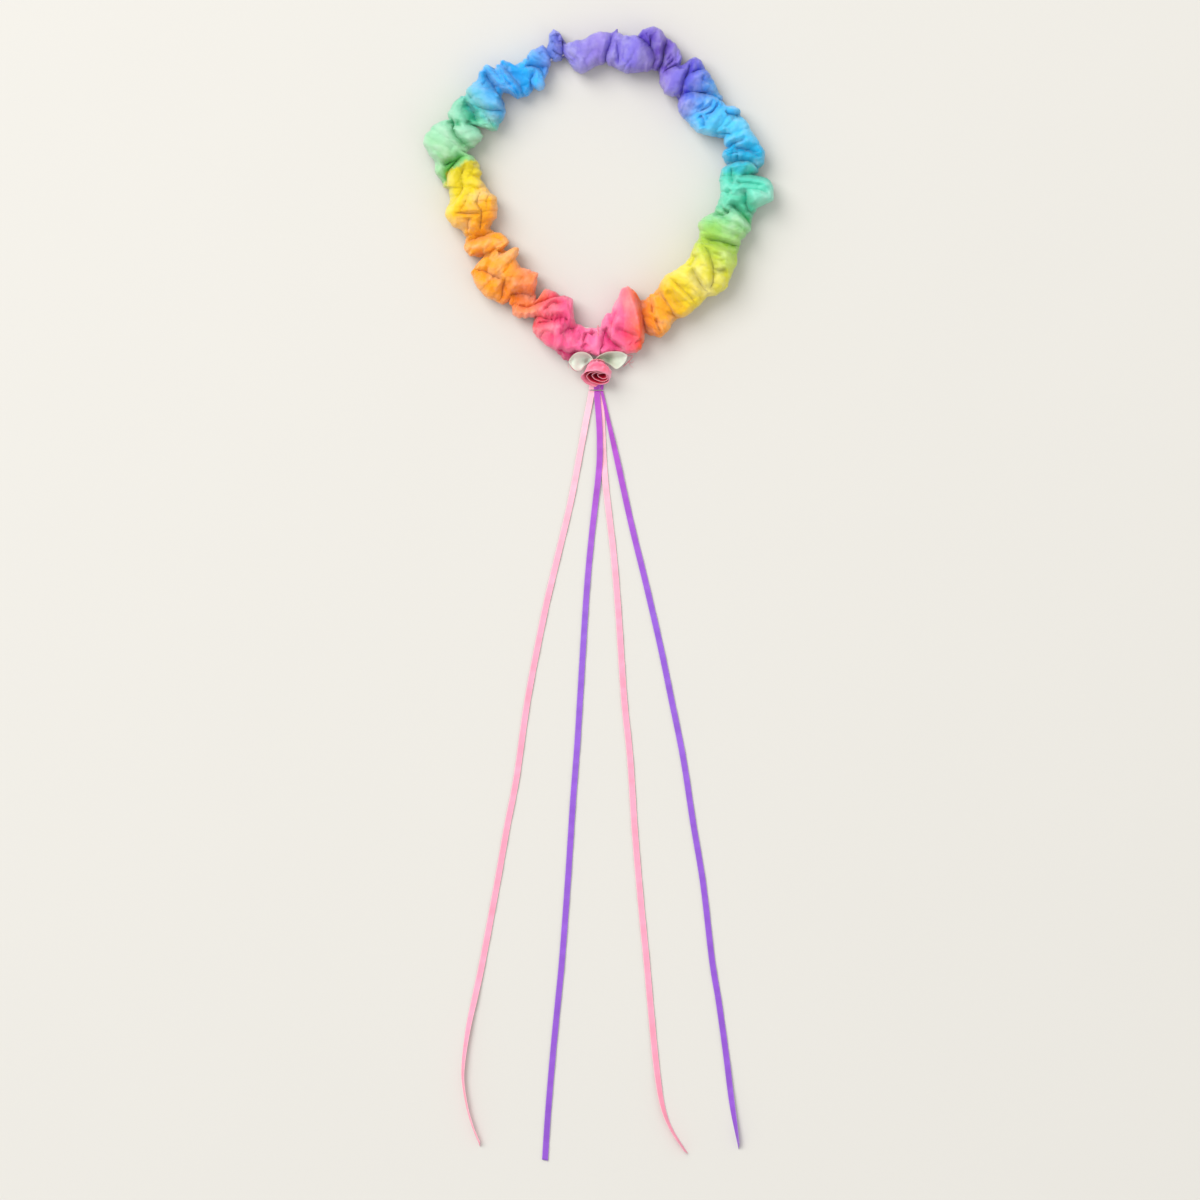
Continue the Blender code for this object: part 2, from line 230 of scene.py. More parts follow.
def makeWeaveGroup():
    # fine cross threads and a soft crinkle, as a height, and a speck of uneven dye, as a mask
    group = bpy.data.node_groups.new("clothWeave", "ShaderNodeTree")
    for name in ("Threads", "Crinkle", "Crinkle Share"):
        group.interface.new_socket(name, in_out="INPUT", socket_type="NodeSocketFloat")
    for name in ("Height", "Unevenness"):
        group.interface.new_socket(name, in_out="OUTPUT", socket_type="NodeSocketFloat")
    start = group.nodes.new("NodeGroupInput").outputs
    end = group.nodes.new("NodeGroupOutput").inputs
    place = objectPlace(group)
    waves = [addNode(group, "ShaderNodeTexWave",
                     {"Vector": place, "Scale": start["Threads"], "Distortion": 1.5, "Detail": 1.0},
                     wave_type="BANDS", bands_direction=direction).outputs["Fac"] for direction in ("X", "Y")]
    threads = mathNode(group, "MAXIMUM", waves[0], waves[1])
    centred = mathNode(group, "SUBTRACT", noise(group, place, start["Crinkle"], 2.5, 0.5, 0.6), 0.5)
    ridged = mathNode(group, "MULTIPLY", mathNode(group, "ABSOLUTE", centred), 4.0)
    creased = mathNode(group, "POWER", ridged, 0.7)
    mix = addNode(group, "ShaderNodeMix", {0: start["Crinkle Share"], 2: threads, 3: creased})
    group.links.new(mix.outputs[0], end["Height"])
    group.links.new(noise(group, place, 90.0, 3.0, 0.6), end["Unevenness"])
    return group


weaveGroup = makeWeaveGroup()


def addBump(tree, shader, height, strength, distance):
    values = {"Strength": strength, "Distance": distance * mm, "Height": height}
    bump = addNode(tree, "ShaderNodeBump", values)
    tree.links.new(bump.outputs["Normal"], shader.inputs["Normal"])


def addWeave(tree, shader, threads, crinkle, share, strength, distance):
    values = {"Threads": threads, "Crinkle": crinkle, "Crinkle Share": share}
    weave = addNode(tree, "ShaderNodeGroup", values, node_tree=weaveGroup)
    addBump(tree, shader, weave.outputs["Height"], strength, distance)
    return weave.outputs["Unevenness"]


def linkSurface(tree, shader, colour, roughness):
    tree.links.new(colour, shader.inputs["Base Color"])
    tree.links.new(roughness, shader.inputs["Roughness"])


# width to wave lengths in millimetres; the ribbons are drawn together over the first stretch of drawnReach
ribbon = {"width": 3.2, "thickness": 0.2, "rim": 0.12, "edge": 0.06, "spacing": 0.9, "acrossSteps": 9,
          "wave": 0.096, "longWave": 17.0, "shortWave": 7.3, "drawnReach": 24.0, "settleReach": 25.0,
          "startBack": 0.5, "cutSharpness": 60.0, "hiddenSpacing": 0.35}
# drawnIn is how far a ribbon is drawn sideways where it leaves the rose, and widthThere the share of its
# width that it keeps there; a route is x, y, height of the middle line and roll in degrees
streamers = {
    "pink_streamer_left": {
        "body": "pink_left", "drawnIn": 0.5, "widthThere": 1.0, "cutSlant": -1.2,
        "route": (
            (-3.8, -107, .85, 0), (-6.4, -121, .8, 0), (-9, -136.2, .5, 0), (-14.5, -165.4, .4, 0),
            (-22.3, -198.2, .4, 0), (-28.6, -225.3, .4, 0), (-37.1, -269.2, .4, 0), (-43.2, -311.6, .4, 0),
            (-48.2, -337.6, .4, 0), (-53.5, -367.8, .4, 0), (-61, -408.1, .5, 0), (-64.7, -425.6, .9, 15),
            (-69.1, -446.3, 1.4, 40), (-71.6, -468, 1.8, 62), (-69.7, -483.9, 1.9, 70),
            (-66.4, -496.1, 1.9, 72), (-62.5, -505.6, 1.9, 72),
        )},
    "purple_streamer_left": {
        "body": "purple_left", "drawnIn": -0.6, "widthThere": 1.0, "cutSlant": 0.2,
        "route": (
            (.0, -107, .85, 0), (.8, -120, .95, 0), (1.1, -133, 1, 0), (.4, -149.5, .95, 0),
            (-3.2, -181.8, .4, 0), (-6.1, -214.1, .4, 0), (-9.5, -269.2, .4, 0), (-11.1, -295.2, .4, 0),
            (-13.3, -324.4, .4, 0), (-16.1, -367.8, .4, 0), (-19.1, -408.1, .4, 0), (-21.2, -429.8, .4, 0),
            (-23.9, -457.9, .4, 0), (-26.5, -489.2, .4, 0), (-28.1, -514.1, .4, 0),
        )},
    "pink_streamer_right": {
        "body": "pink_right", "drawnIn": 0.0, "widthThere": 1.0, "cutSlant": 1.4,
        "route": (
            (1.3, -107, .25, 0), (2.1, -122.4, .25, 0), (3.7, -152.6, .3, 0), (8.2, -192.4, .4, 0),
            (10.9, -225.3, .4, 0), (13.8, -269.2, .4, 0), (17, -301, .4, 0), (19.6, -340.8, .4, 0),
            (22.8, -378.4, .4, 0), (25.7, -408.1, .4, 0), (27.6, -429.8, .4, 0), (30.7, -462.2, .7, -10),
            (33.9, -483.9, 1.4, -40), (38.5, -497.1, 1.8, -62), (46.6, -509.9, 1.9, -72),
        )},
    "purple_streamer_right": {
        "body": "purple_right", "drawnIn": -1.5, "widthThere": 0.5, "cutSlant": -1.6,
        "route": (
            (3.5, -107, .85, 0), (5, -114, .85, 0), (9.3, -138.3, .8, 0), (17, -174.4, .4, 0),
            (25.4, -208.8, .4, 0), (32.9, -241.2, .4, 0), (38.7, -269.2, .4, 0), (45.1, -301, .4, 0),
            (50.4, -335.5, .4, 0), (55.7, -367.8, .4, 0), (60.4, -408.1, .4, 0), (63.9, -429.8, .4, 0),
            (67.8, -457.9, .5, 0), (71, -483.9, 1, 25), (74.7, -506.7, 1.8, 75),
        )},
}


def makeSatin(name, root, body, tip, selvedge):
    # satin ribbon: a colour that drifts along it, a paler selvedge and fine cross threads
    material, tree, shader = newMaterial(name, {
        "Sheen Weight": 0.25, "Sheen Roughness": 0.35, "Anisotropic": 0.45, "Specular IOR Level": 0.55})
    drift = colourRamp(tree, attribute(tree, "along"), ((0.0, root), (0.3, body), (1.0, tip)))
    uneven = addWeave(tree, shader, 3600.0, 120.0, 0.55, 0.35, 0.12)
    shade = mathNode(tree, "MULTIPLY_ADD", uneven, 0.5, 0.75)
    grey = addNode(tree, "ShaderNodeCombineColor", {0: shade, 1: shade, 2: shade}).outputs[0]
    base = mixColour(tree, 1.0, drift, grey, "MULTIPLY")
    edge = mathNode(tree, "MULTIPLY", attribute(tree, "rim"), 0.6)
    rough = mathNode(tree, "MULTIPLY_ADD", uneven, 0.25, 0.26)
    linkSurface(tree, shader, mixColour(tree, edge, base, linear(selvedge)), rough)
    return material


satins = {"pink": makeSatin("pinkSatin", (255, 190, 208), (252, 158, 186), (250, 150, 178), (255, 214, 224)),
          "purple": makeSatin("purpleSatin", (176, 60, 190), (140, 84, 208), (134, 70, 196), (190, 150, 232))}


def ribbonAcross(line):
    # the direction across a ribbon that lies level, rolled about its own length, and its face
    ahead = unitAhead(line[:, :3])
    level = np.column_stack([-ahead[:, 1], ahead[:, 0], np.zeros(len(line))])
    level /= np.linalg.norm(level, axis=1)[:, None]
    up = np.cross(ahead, level)
    roll = np.radians(line[:, 3])[:, None]
    return level * np.cos(roll) + up * np.sin(roll), up * np.cos(roll) - level * np.sin(roll)


def ribbonSkin(name, line, across, face, widths, cutSlant=0.0, hidden=False):
    # a closed ribbon with a slightly thicker selvedge and a slanting cut at its far end
    shares = np.cos(np.linspace(np.pi, 0, ribbon["acrossSteps"]))
    half = ribbon["thickness"] / 2 * (1 - 0.25 * (1 - shares**8)) + ribbon["rim"] / 2 * np.abs(shares)**10
    half[0] = half[-1] = ribbon["edge"]
    run = np.linspace(0, 1, len(line))
    slant = unitAhead(line[:, :3]) * (cutSlant * np.exp(-(1 - run) * ribbon["cutSharpness"]))[:, None]
    points, rims = [], []
    for side in (1, -1):
        for k in range(len(shares))[::side]:
            points.append(line[:, :3] + across * (shares[k] * ribbon["width"] / 2 * widths)[:, None]
                          + face * side * half[k] + slant * shares[k])
            rims.append(np.full(len(line), abs(shares[k]) ** 12))
    grid = np.stack(points, 1)
    along = np.repeat(run[:, None], grid.shape[1], 1) * (0.0 if hidden else 1.0)
    piece = gridMesh(name, grid, True, {"along": along, "rim": np.stack(rims, 1)})
    facesOut(piece, fillEnds=True)
    return piece


for number, (name, streamer) in enumerate(streamers.items()):
    line = smoothLine(streamer["route"], ribbon["spacing"])
    reach = np.arange(len(line)) * ribbon["spacing"]
    nearRose = np.exp(-((reach / ribbon["drawnReach"]) ** 2))
    line[:, 0] += streamer["drawnIn"] * nearRose
    line[0, 1] += ribbon["startBack"]
    across, face = ribbonAcross(line)
    ripple = np.sin(reach * math.tau / ribbon["longWave"] + number * 1.7)
    ripple += 0.5 * np.sin(reach * math.tau / ribbon["shortWave"] + number)
    line[:, 2] += ribbon["wave"] * (ripple + 1) * np.clip(reach / ribbon["settleReach"], 0, 1)
    widths = 1 - (1 - streamer["widthThere"]) * nearRose
    strip = ribbonSkin(name + "_satin", line, across, face, widths, streamer["cutSlant"])
    tint = name.split("_")[0]
    finishPiece(strip, satins[tint], streamer["body"])
    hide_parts(name)
print("streamers ready")

silk = {"wall": 0.12, "columns": 1120, "topPoints": 66, "underPoints": 26, "start": -90.5, "end": 270.5,
        "endLift": 1.3, "endRun": 9.0, "squareness": 0.72, "deepest": 0.8, "lapFade": 0.5,
        "depthGain": 1.6, "widthGain": 1.05, "lapGain": 1.35, "farRun": 3.3, "nearRun": 1.3,
        "foldSpacing": 0.7, "straight": 0.7, "lipHeight": 0.4, "fadeShare": 0.2, "seed": 5,
        "ridges": ((9.5, 1.25, 2), (5.4, 0.45, 2), (3.1, 0.15, 1)),
        "elasticTop": 7.2, "elasticHalf": 2.8, "elasticRadius": 73.5}
# angle round the ring (degrees), inner radius, outer radius, height of the plain sleeve
sleeveRibs = (
    (-90, 72.5, 84.5, 10), (-81, 66, 84.5, 14), (-72, 58, 87, 20), (-65, 62, 83.5, 15),
    (-57, 60.5, 83.5, 18), (-46, 60, 84, 20), (-34, 60.5, 86.5, 21), (-26, 59, 86, 20),
    (-18, 57.5, 84.5, 20), (-10, 62.5, 85.5, 17), (-3, 64, 92.5, 19), (3, 64.5, 92.5, 17),
    (9, 66.5, 89, 16), (14, 67.5, 91, 19), (22, 64.5, 89, 20), (30, 61.5, 87, 21),
    (38, 62, 82, 17), (46, 62, 84.5, 19), (53, 63.5, 87.5, 20), (60, 68, 85.5, 15),
    (68, 68.5, 90, 18), (76, 64, 88, 20), (88, 66, 84.5, 17), (97, 63, 81, 17),
    (103, 68.5, 81, 12), (110, 66.5, 82, 13), (118, 61.5, 80.5, 14), (133, 61.5, 88, 20),
    (142, 61.5, 86.5, 20), (150, 64, 88, 16), (160, 66, 95, 20), (167, 65, 94.5, 20),
    (173, 61, 87, 16), (180, 56, 80.5, 16), (188, 53.5, 81.5, 20), (203, 52.5, 76.5, 15),
    (219, 53, 80.5, 19), (234, 55.5, 77, 15), (241, 60, 79.5, 14), (248, 57.5, 83, 17),
    (255, 60, 85.5, 18), (262, 69, 84.5, 14), (270, 72.5, 84.5, 10),
)
# where the gathered cloth's edges really run: angle, share across the plain sleeve (0 inside, 1 outside)
innerEdge = (
    (-90, .04), (-89, .0), (-88.2, -.23), (-86, -.27), (-84, -.12), (-82.5, -.2), (-80, -.33),
    (-77.7, -.36), (-73, -.15), (-70.5, -.06), (-69.2, .08), (-60, .04), (-57, 0), (-52, -.06), (-45, .02),
    (-40, .07), (-35, .02), (-30, .02), (-25, .07), (-20, 0), (-15, .02), (-10, .07), (0, .05), (5, 0),
    (8, 0), (10, .12), (12, .05), (14, .01), (16, .07), (18, .2), (22, .27), (23.5, .17), (25, .1),
    (28, .02), (30, -.05), (35, -.1), (40, -.15), (43, -.14), (46, -.06), (48, .02), (50, .02), (53, -.06),
    (56, -.15), (58.5, -.21), (60, -.2), (61, -.07), (62, .02), (63, .07), (65, .05), (68, -.07),
    (70, -.09), (75, -.04), (85, -.02), (86, .05), (88, -.02), (97, -.06), (99, -.15), (101, -.24),
    (102.5, -.17), (103, .05), (104, .25), (106, .17), (108, .25), (110, .35), (111, .22), (113, .12),
    (116, .1), (117, -.02), (119, -.07), (121, -.06), (122, .05), (127, 0), (132, .07), (133, .3),
    (134, .37), (136, .35), (137.5, .17), (140, .05), (145, 0), (150, -.09), (151.5, -.02), (152, .1),
    (153, .3), (154, .17), (156, .06), (158, .05), (161, .12), (163, .22), (165, .25), (166, .12), (168, 0),
    (171, .04), (175, .1), (179, .12), (184, -.02), (190, .02), (195, .1), (197, .2), (200, .3), (202, .25),
    (205, .12), (208, .06), (211, .07), (212, .22), (214, .17), (215, .02), (217, -.02), (219, .05),
    (220, .17), (225, .17), (228, .12), (230, .05), (234, -.05), (236, .07), (239, .22), (241, .3),
    (242, -.02), (250, .02), (253, -.06), (256, -.06), (257.5, -.1), (258.3, .06), (259, .2), (262, .17),
    (265, .24), (268, .1), (270, .04),
)
outerEdge = (
    (-90.5, 1.36), (-88.5, 1.3), (-87, 1.22), (-85, 1.2), (-80, 1.22), (-77, 1.15), (-75, 1.07), (-74, .95),
    (-72, .8), (-70, .9), (-67, 1.07), (-65, 1.05), (-62, .95), (-60, .92), (-55, .97), (-45, .95),
    (-42, 1.05), (-40, 1.04), (-35, .97), (-30, .92), (-25, .87), (-20, .9), (-17, .97), (-15, 1.02),
    (-8, .97), (-6, .9), (-5, .95), (-3, 1.07), (0, 1.05), (2, 1.02), (3.5, .9), (5, .75), (7, .87),
    (9, 1.04), (12, 1.02), (15, .95), (20, .92), (25, .92), (27, .95), (29, .99), (31, .9), (33, .8),
    (34.5, .87), (37, 1.04), (40, 1.05), (45, 1.02), (53, 1.02), (55, .9), (55.5, .8), (56.5, .68),
    (58, .87), (60, 1.04), (62, 1.07), (64, 1.02), (66, .95), (69, 1.05), (71, 1.07), (74, 1), (76, .85),
    (77, .81), (80, .8), (82, .87), (83, 1), (85, .94), (93, .95), (95, .91), (98, .94), (102, .87),
    (102.8, 1.05), (104, 1.38), (105.5, 1.5), (107, 1.38), (109, .98), (110, .9), (111, 1), (115, 1.05),
    (118, 1.02), (119.5, .95), (121, .9), (124, .85), (125, .95), (127, 1), (129, .92), (130.5, .87),
    (132, 1.02), (135, 1.04), (138, .97), (140, 1), (143, 1.02), (145, .97), (146, 1.04), (150, 1.06),
    (153, 1), (155, .87), (157, .92), (160, 1), (163, 1.06), (165, 1.05), (168, .95), (170, .92),
    (173, 1.02), (176, 1.02), (179, 1.09), (180, .95), (185, .92), (188, 1), (190, 1.04), (194, 1.01),
    (197, .9), (200, .92), (201, .97), (204, 1.05), (207, 1.01), (209, .87), (211, .71), (211.8, .95),
    (213, 1.07), (218, 1.07), (225, 1.1), (230, 1.09), (231, .95), (232, 1.02), (235, 1.1), (236, 1.14),
    (238, 1.09), (240, 1), (242, .85), (243.5, .8), (244.5, 1), (246, 1.06), (250, 1.1), (255, 1.12),
    (257, 1.25), (259, 1.42), (260.5, 1.5), (262, 1.4), (264.5, 1.22), (267, 1.22), (268.5, 1.28),
    (270.5, 1.36),
)
# every fold: places along it as (angle, share across), then how deep and how wide its valley is, and
# how far the cloth on its left laps over it (on its right if negative), all in millimetres
gathers = (
    (((-88, .2), (-88.6, .6), (-89.2, 1.1)), 3.4, 2.2, -1),
    (((-86, .2), (-85, .55), (-80.8, 1.15)), 6, 2.2, 1.5),
    (((-80.5, -.1), (-83, .3), (-83.3, .6), (-82.3, .95)), 2.2, 1.4, 1),
    (((-83, .36), (-79, .55), (-74.5, .82)), 2.8, 3, .9),
    (((-79, 1.02), (-76, .85)), 1.6, 1.1, .4),
    (((-77.4, 1), (-74, .86)), 1.6, 1, .4),
    (((-78, .92), (-75.5, .74)), 1.4, 1, .0),
    (((-70.8, .02), (-71.6, .5), (-73.2, .95)), 6, 2, -1.3),
    (((-69.8, .1), (-70.4, .85)), 1.8, 1, .3),
    (((-68.6, .1), (-69.4, .92)), 2, .9, -.3),
    (((-67.2, .3), (-67.9, .97)), 1.5, .8, .2),
    (((-65.6, .62), (-66.6, 1.02)), 1.8, .9, .4),
    (((-63.8, .04), (-65, .3), (-66.2, .52)), 2.2, 1.2, .4),
    (((-62.4, 1), (-60.2, .88)), 1.8, 1, .0),
    (((-57.6, .05), (-58, .5), (-58.4, 1)), 3, 1.8, .9),
    (((-55, .2), (-54.6, .88)), 2, 2.8, .0),
    (((-51, .05), (-50.4, .5), (-50.2, .95)), 2, 1.5, -.8),
    (((-40, .25), (-41, .5), (-43.6, .92)), 3.8, 1.5, 1.5),
    (((-41, .18), (-38, .12), (-34.6, .07)), 1.6, 1.5, .3),
    (((-43, .92), (-35.5, .55), (-28.8, .15)), 3.4, 1.8, 1.3),
    (((-35.2, .58), (-34, .76), (-32.4, .84)), 2.8, 1.2, .0),
    (((-35.4, .6), (-34.2, .55)), 3, 1, .0),
    (((-34.3, .36), (-32, .3), (-29.5, .2)), 2.2, 1.2, .4),
    (((-31.8, .38), (-31, .6), (-29.5, .74)), 1.4, 1, .2),
    (((-30.5, .34), (-29.2, .5), (-29, .68)), 1.4, 1, .2),
    (((-25.3, .1), (-22.8, .45), (-22, .95)), 4.6, 2, 1.1),
    (((-18, .15), (-20, .5), (-18.4, .92)), 1.4, 2.8, .0),
    (((-12.3, .2), (-14.3, .5), (-15.6, 1)), 1.3, 1.4, .3),
    (((-7.4, .28), (-9.6, .55), (-14, 1.05)), 6, 1.7, -1.3),
    (((-10.2, .22), (-10.4, .38), (-12.2, .36)), 3.2, 1, .5),
    (((-12.2, .06), (-11.8, .34)), 3.2, 1, .4),
    (((-9, 1), (-5.5, .66), (0, .52)), 5, 2.8, -1.1),
    (((-8.6, .8), (-5, .47), (-1.5, .42)), 2.6, 1.8, .4),
    (((-3.2, .12), (-1, .22)), 1.8, 1, .0),
    (((4.2, .4), (3.6, .7), (2.6, 1.1)), 5.4, 2.2, -1.6),
    (((2.4, .25), (1.7, .6), (.8, .9)), 2.4, 1.3, .7),
    (((-2.4, .98), (-1.2, .8), (-.8, .55)), 1.8, 1.2, .3),
    (((.5, .25), (4, .2), (8, .2)), 2.4, 1.5, .5),
    (((9.4, .05), (9.8, .5), (8.2, .78), (5.4, .82)), 3.8, 1.7, -1.1),
    (((13.6, .1), (13.2, .55), (10.2, .95)), 3.2, 1.6, -.9),
    (((11.2, .3), (12.8, .34)), 3.6, 1, .3),
    (((17, .28), (15.8, .55), (12.8, .92)), 4.4, 2.8, 1.1),
    (((16.8, .15), (18.8, .35), (19, .7)), 3, 1.3, .5),
    (((21.2, .46), (23, .3), (25, .1)), 2.2, 1.2, .3),
    (((28.2, 1.02), (29.2, .8), (31.2, .68)), 4.4, 1.6, -.9),
    (((25.5, .1), (27.5, .38), (30.2, .74)), 1.8, 1.7, .6),
    (((29.6, .05), (33, .15), (35.6, .13)), 2.6, 1.3, .5),
    (((31, .2), (34, .28), (35.6, .33)), 2, 1, .4),
    (((34.6, .26), (34.2, .5), (35.2, .76)), 2.8, 1.3, .5),
    (((37.6, .22), (36.6, .5), (37.2, .7)), 2.6, 1.2, .4),
    (((38.4, .18), (38.5, .46)), 1.8, 1, .2),
    (((34.2, .92), (40, .63), (44, .37), (47.4, .04)), 6, 2.6, 2.2),
    (((38.5, .6), (42.4, .34)), 2.2, 2.2, .0),
    (((39.4, 1.05), (42, .76), (45, .48), (47.2, .22)), 3.2, 2, -.8),
    (((44.4, .5), (46.6, .42)), 4, 1.3, .0),
    (((42, .97), (44.5, .82), (47, .78)), 1.8, 1.8, .3),
    (((48.6, .1), (50.6, .4), (50, .72), (47.8, 1.05)), 3.4, 2.2, -.9),
    (((47.4, -.02), (50.4, .13), (52.8, .42), (54.3, .92)), 6, 2, 1.7),
    (((50.2, .76), (53.8, .62)), 2.8, 2.2, .3),
    (((56, .5), (55.6, .95)), 3, 1.8, .0),
    (((61.2, .1), (60, .3), (57.4, .64)), 3.2, 1.1, .5),
    (((61.8, .1), (61.2, .35), (59.6, .7)), 3, 1, .4),
    (((62.3, .1), (62.2, .4), (61.2, .74)), 2.4, .9, .3),
    (((62.9, .1), (63.2, .4), (62.6, .72)), 2.4, .9, -.3),
    (((63.6, .02), (64, .4), (65.2, .66), (64.9, .95)), 4.8, 1.5, .9),
    (((63, .06), (64.2, .09)), 4, 1.2, .0),
    (((66.3, .1), (70, .52), (71.6, .92)), 4.2, 1.5, .7),
    (((70.3, .58), (71.6, .72), (73.2, .95)), 2.6, 1.1, .3),
    (((66, .02), (69.2, .38), (73, .64), (76.8, .9)), 5.4, 1.9, 1.6),
    (((80, .08), (78.6, .5), (78, .85)), 1.2, 2.4, .0),
    (((86.2, -.02), (84.2, .45), (83.1, 1)), 4.4, 1.4, -1.5),
    (((80.6, .02), (82, .35), (82.8, .66)), 2, 1.3, .6),
    (((98.5, .4), (98, .95)), .7, 1.4, .2),
    (((93.5, .45), (93, 1)), .7, 1.8, .0),
    (((99, .34), (101.6, -.1)), 1.5, 2, .3),
    (((87.5, .2), (91, .4), (96, .35)), .8, 2.4, .0),
    (((103.1, .0), (103.6, .5), (102.6, 1.1)), 3.6, 1.6, -.9),
    (((104, 1.02), (106, .84), (108.2, 1.02)), 1.8, 1.2, .6),
    (((104.7, 1.3), (105, .98)), 2.4, 1.5, .0),
    (((105.8, .1), (107.2, .42), (109.2, .72)), 2.4, 1.3, .7),
    (((105.7, .16), (105, .44)), 2.4, .9, .2),
    (((104.6, .56), (105.4, .3)), 1.8, .9, .0),
    (((110, .4), (110.6, 1)), 2.2, 1.9, .3),
    (((112.4, .45), (113.6, .85)), 1.3, 1.5, .3),
    (((109.5, .3), (110.4, .52)), 1.8, 1.2, .0),
    (((117.5, .93), (119.1, .9)), 5, 1.3, .3),
    (((116, .18), (117.6, .48), (121.4, .72)), 5, 2, 1.4),
    (((117.9, .4), (121, .28), (123, -.02)), 3, 1.2, .6),
    (((121, .5), (124, .76), (126, .94)), 1.6, 1.1, .5),
    (((128.8, .0), (128.2, .4), (128.6, .92)), 5, 2.8, 1.2),
    (((131.4, .02), (131.2, .5), (130.2, .9)), 2.2, 1.1, .3),
    (((132.6, .5), (131.5, .96)), 2.8, 1, .3),
    (((136.6, .36), (134.8, .55), (134, .98)), 5.4, 2, -.9),
    (((134.8, .6), (136, .83), (139, .82)), 3.4, 1.2, -.6),
    (((136.2, .36), (137.4, .16), (140, .0)), 3.2, 1.3, .6),
    (((139.6, .0), (143, .3), (145, .55), (145.6, .9)), 2.8, 2.4, -1),
    (((150.6, -.06), (147.6, .24), (145.9, .5)), 1.2, 1, .4),
    (((143.6, .88), (144.6, .86)), 2.6, .9, .0),
    (((151.4, .3), (149.4, .42), (147.4, .6), (146.4, .95)), 6.5, 2.2, -1.1),
    (((153.6, .22), (154.4, .52)), 3, 1.5, .4),
    (((151.4, .56), (153.6, .34)), 2.4, 1.3, .4),
    (((154.8, .84), (156.2, .66), (158, .58)), 5, 1.4, .6),
    (((155.5, .54), (156.7, .74)), 2.8, 1, .0),
    (((161.8, .18), (159.2, .45), (156.8, .68)), 4.6, 1.3, -1.2),
    (((158.6, .45), (158, .92)), 1.4, 1.1, .3),
    (((159.4, .3), (161, .44)), 1.4, 1, .0),
    (((163, .45), (166, .55)), 1.2, 1.6, .0),
    (((168, .38), (169.6, .62), (171.4, .88)), 5.4, 1.6, -.8),
    (((166.4, .2), (170.6, .52), (175.4, .82), (180, 1.02)), 5.4, 1.7, 1.2),
    (((170, .28), (175, .47), (180, .62), (184, .76), (188, .9)), 2.2, 1.5, .8),
    (((181, .22), (185, .34), (189.8, .42)), 2, 1.3, .5),
    (((180, .45), (184.5, .55), (188.5, .66), (192, .88)), 1.8, 1.2, .5),
    (((183, .1), (188, .18), (193, .2)), 1, 1.4, .2),
    (((191.6, .34), (190.8, .6), (189.8, .85)), 3, 1.1, -.6),
    (((192.6, .58), (196, .72), (199.4, .85)), 2.6, 1.8, .5),
    (((182, .3), (187, .4), (191.4, .36), (197, .5), (200.8, .6)), 2.6, 2, -.8),
    (((203.4, .2), (203.2, .6), (202.8, 1.02)), 4.2, 2.4, 1),
    (((211.2, .62), (208.6, .96)), 2.8, 1.3, .3),
    (((210.6, .36), (211.4, .64)), 2.4, 1.1, .3),
    (((211.6, .36), (213.4, .22), (215.6, .2)), 2.4, 1.3, .3),
    (((212.4, 1.02), (215.4, .78), (221, .64), (224.4, .6)), 3.2, 1.8, 1),
    (((213.2, .98), (217, .73), (220.8, .62)), 1.6, .9, .3),
    (((216, .88), (220.4, .64)), 1.4, .9, .3),
    (((223.6, .56), (225.4, .78), (228.6, 1.08)), 3.4, 1.9, -.8),
    (((228.6, 1.02), (229.8, .84)), 1.4, 1, .0),
    (((229.8, .78), (234.6, .52), (239.2, .2)), 5, 3.2, 1.2),
    (((233, 1), (237.6, .88), (241, .66), (245, .34), (249.6, .1), (256, -.08)), 4, 1.8, -1.2),
    (((245.8, .52), (248.8, .26), (253.4, .1)), 2.8, 1.3, .5),
    (((243.4, .82), (247, .72), (251, .62), (257.4, .32)), 3.8, 1.3, -.8),
    (((244.8, .98), (247.6, .82), (252.6, .6), (257.4, .4)), 3.4, 1.2, -.5),
    (((246, .68), (250, .5), (254.8, .33)), 2.2, 1, .4),
    (((244.5, 1.02), (243.9, .78)), 4.4, 1.5, .0),
    (((250, .67), (251.6, .62)), 2.8, 1, .0),
    (((255.4, .45), (257.2, .37)), 3.2, 1.2, .0),
    (((254.8, .78), (258, .5), (261.6, .24)), 2.8, 2.4, .8),
    (((266, .34), (265.4, .55), (265, .85)), 2.8, 1, .4),
    (((264, 1.05), (265.6, .8)), 2, 1.1, .3),
    (((266.6, .42), (268.2, .16)), 3.2, 1, .3),
    (((262.5, .3), (263.6, .6), (262, 1)), 1.6, 2.2, .4),
    (((255.5, 1.12), (259.5, 1.3), (264, 1.22)), 4, 3.2, .0),
    (((248, 1.05), (251, .85), (255, .9)), 1.2, 1.6, .3),
)
smallCreases = {"count": 240, "depth": (0.3, 1.1), "width": (0.9, 2.0), "reach": (5.0, 16.0), "lean": 0.45,
                "bend": 0.12, "lap": 0.25, "seed": 11}


def plainRibs(angles):
    return easedTable(sleeveRibs, np.asarray(angles, float))


def planPlace(places):
    # (angle, share across) places as x and y
    places = np.array(places, float)
    ribs = plainRibs(places[:, 0])
    radius = ribs[:, 0] + (ribs[:, 1] - ribs[:, 0]) * places[:, 1]
    turn = np.radians(places[:, 0])
    return np.column_stack([radius * np.cos(turn), radius * np.sin(turn)])


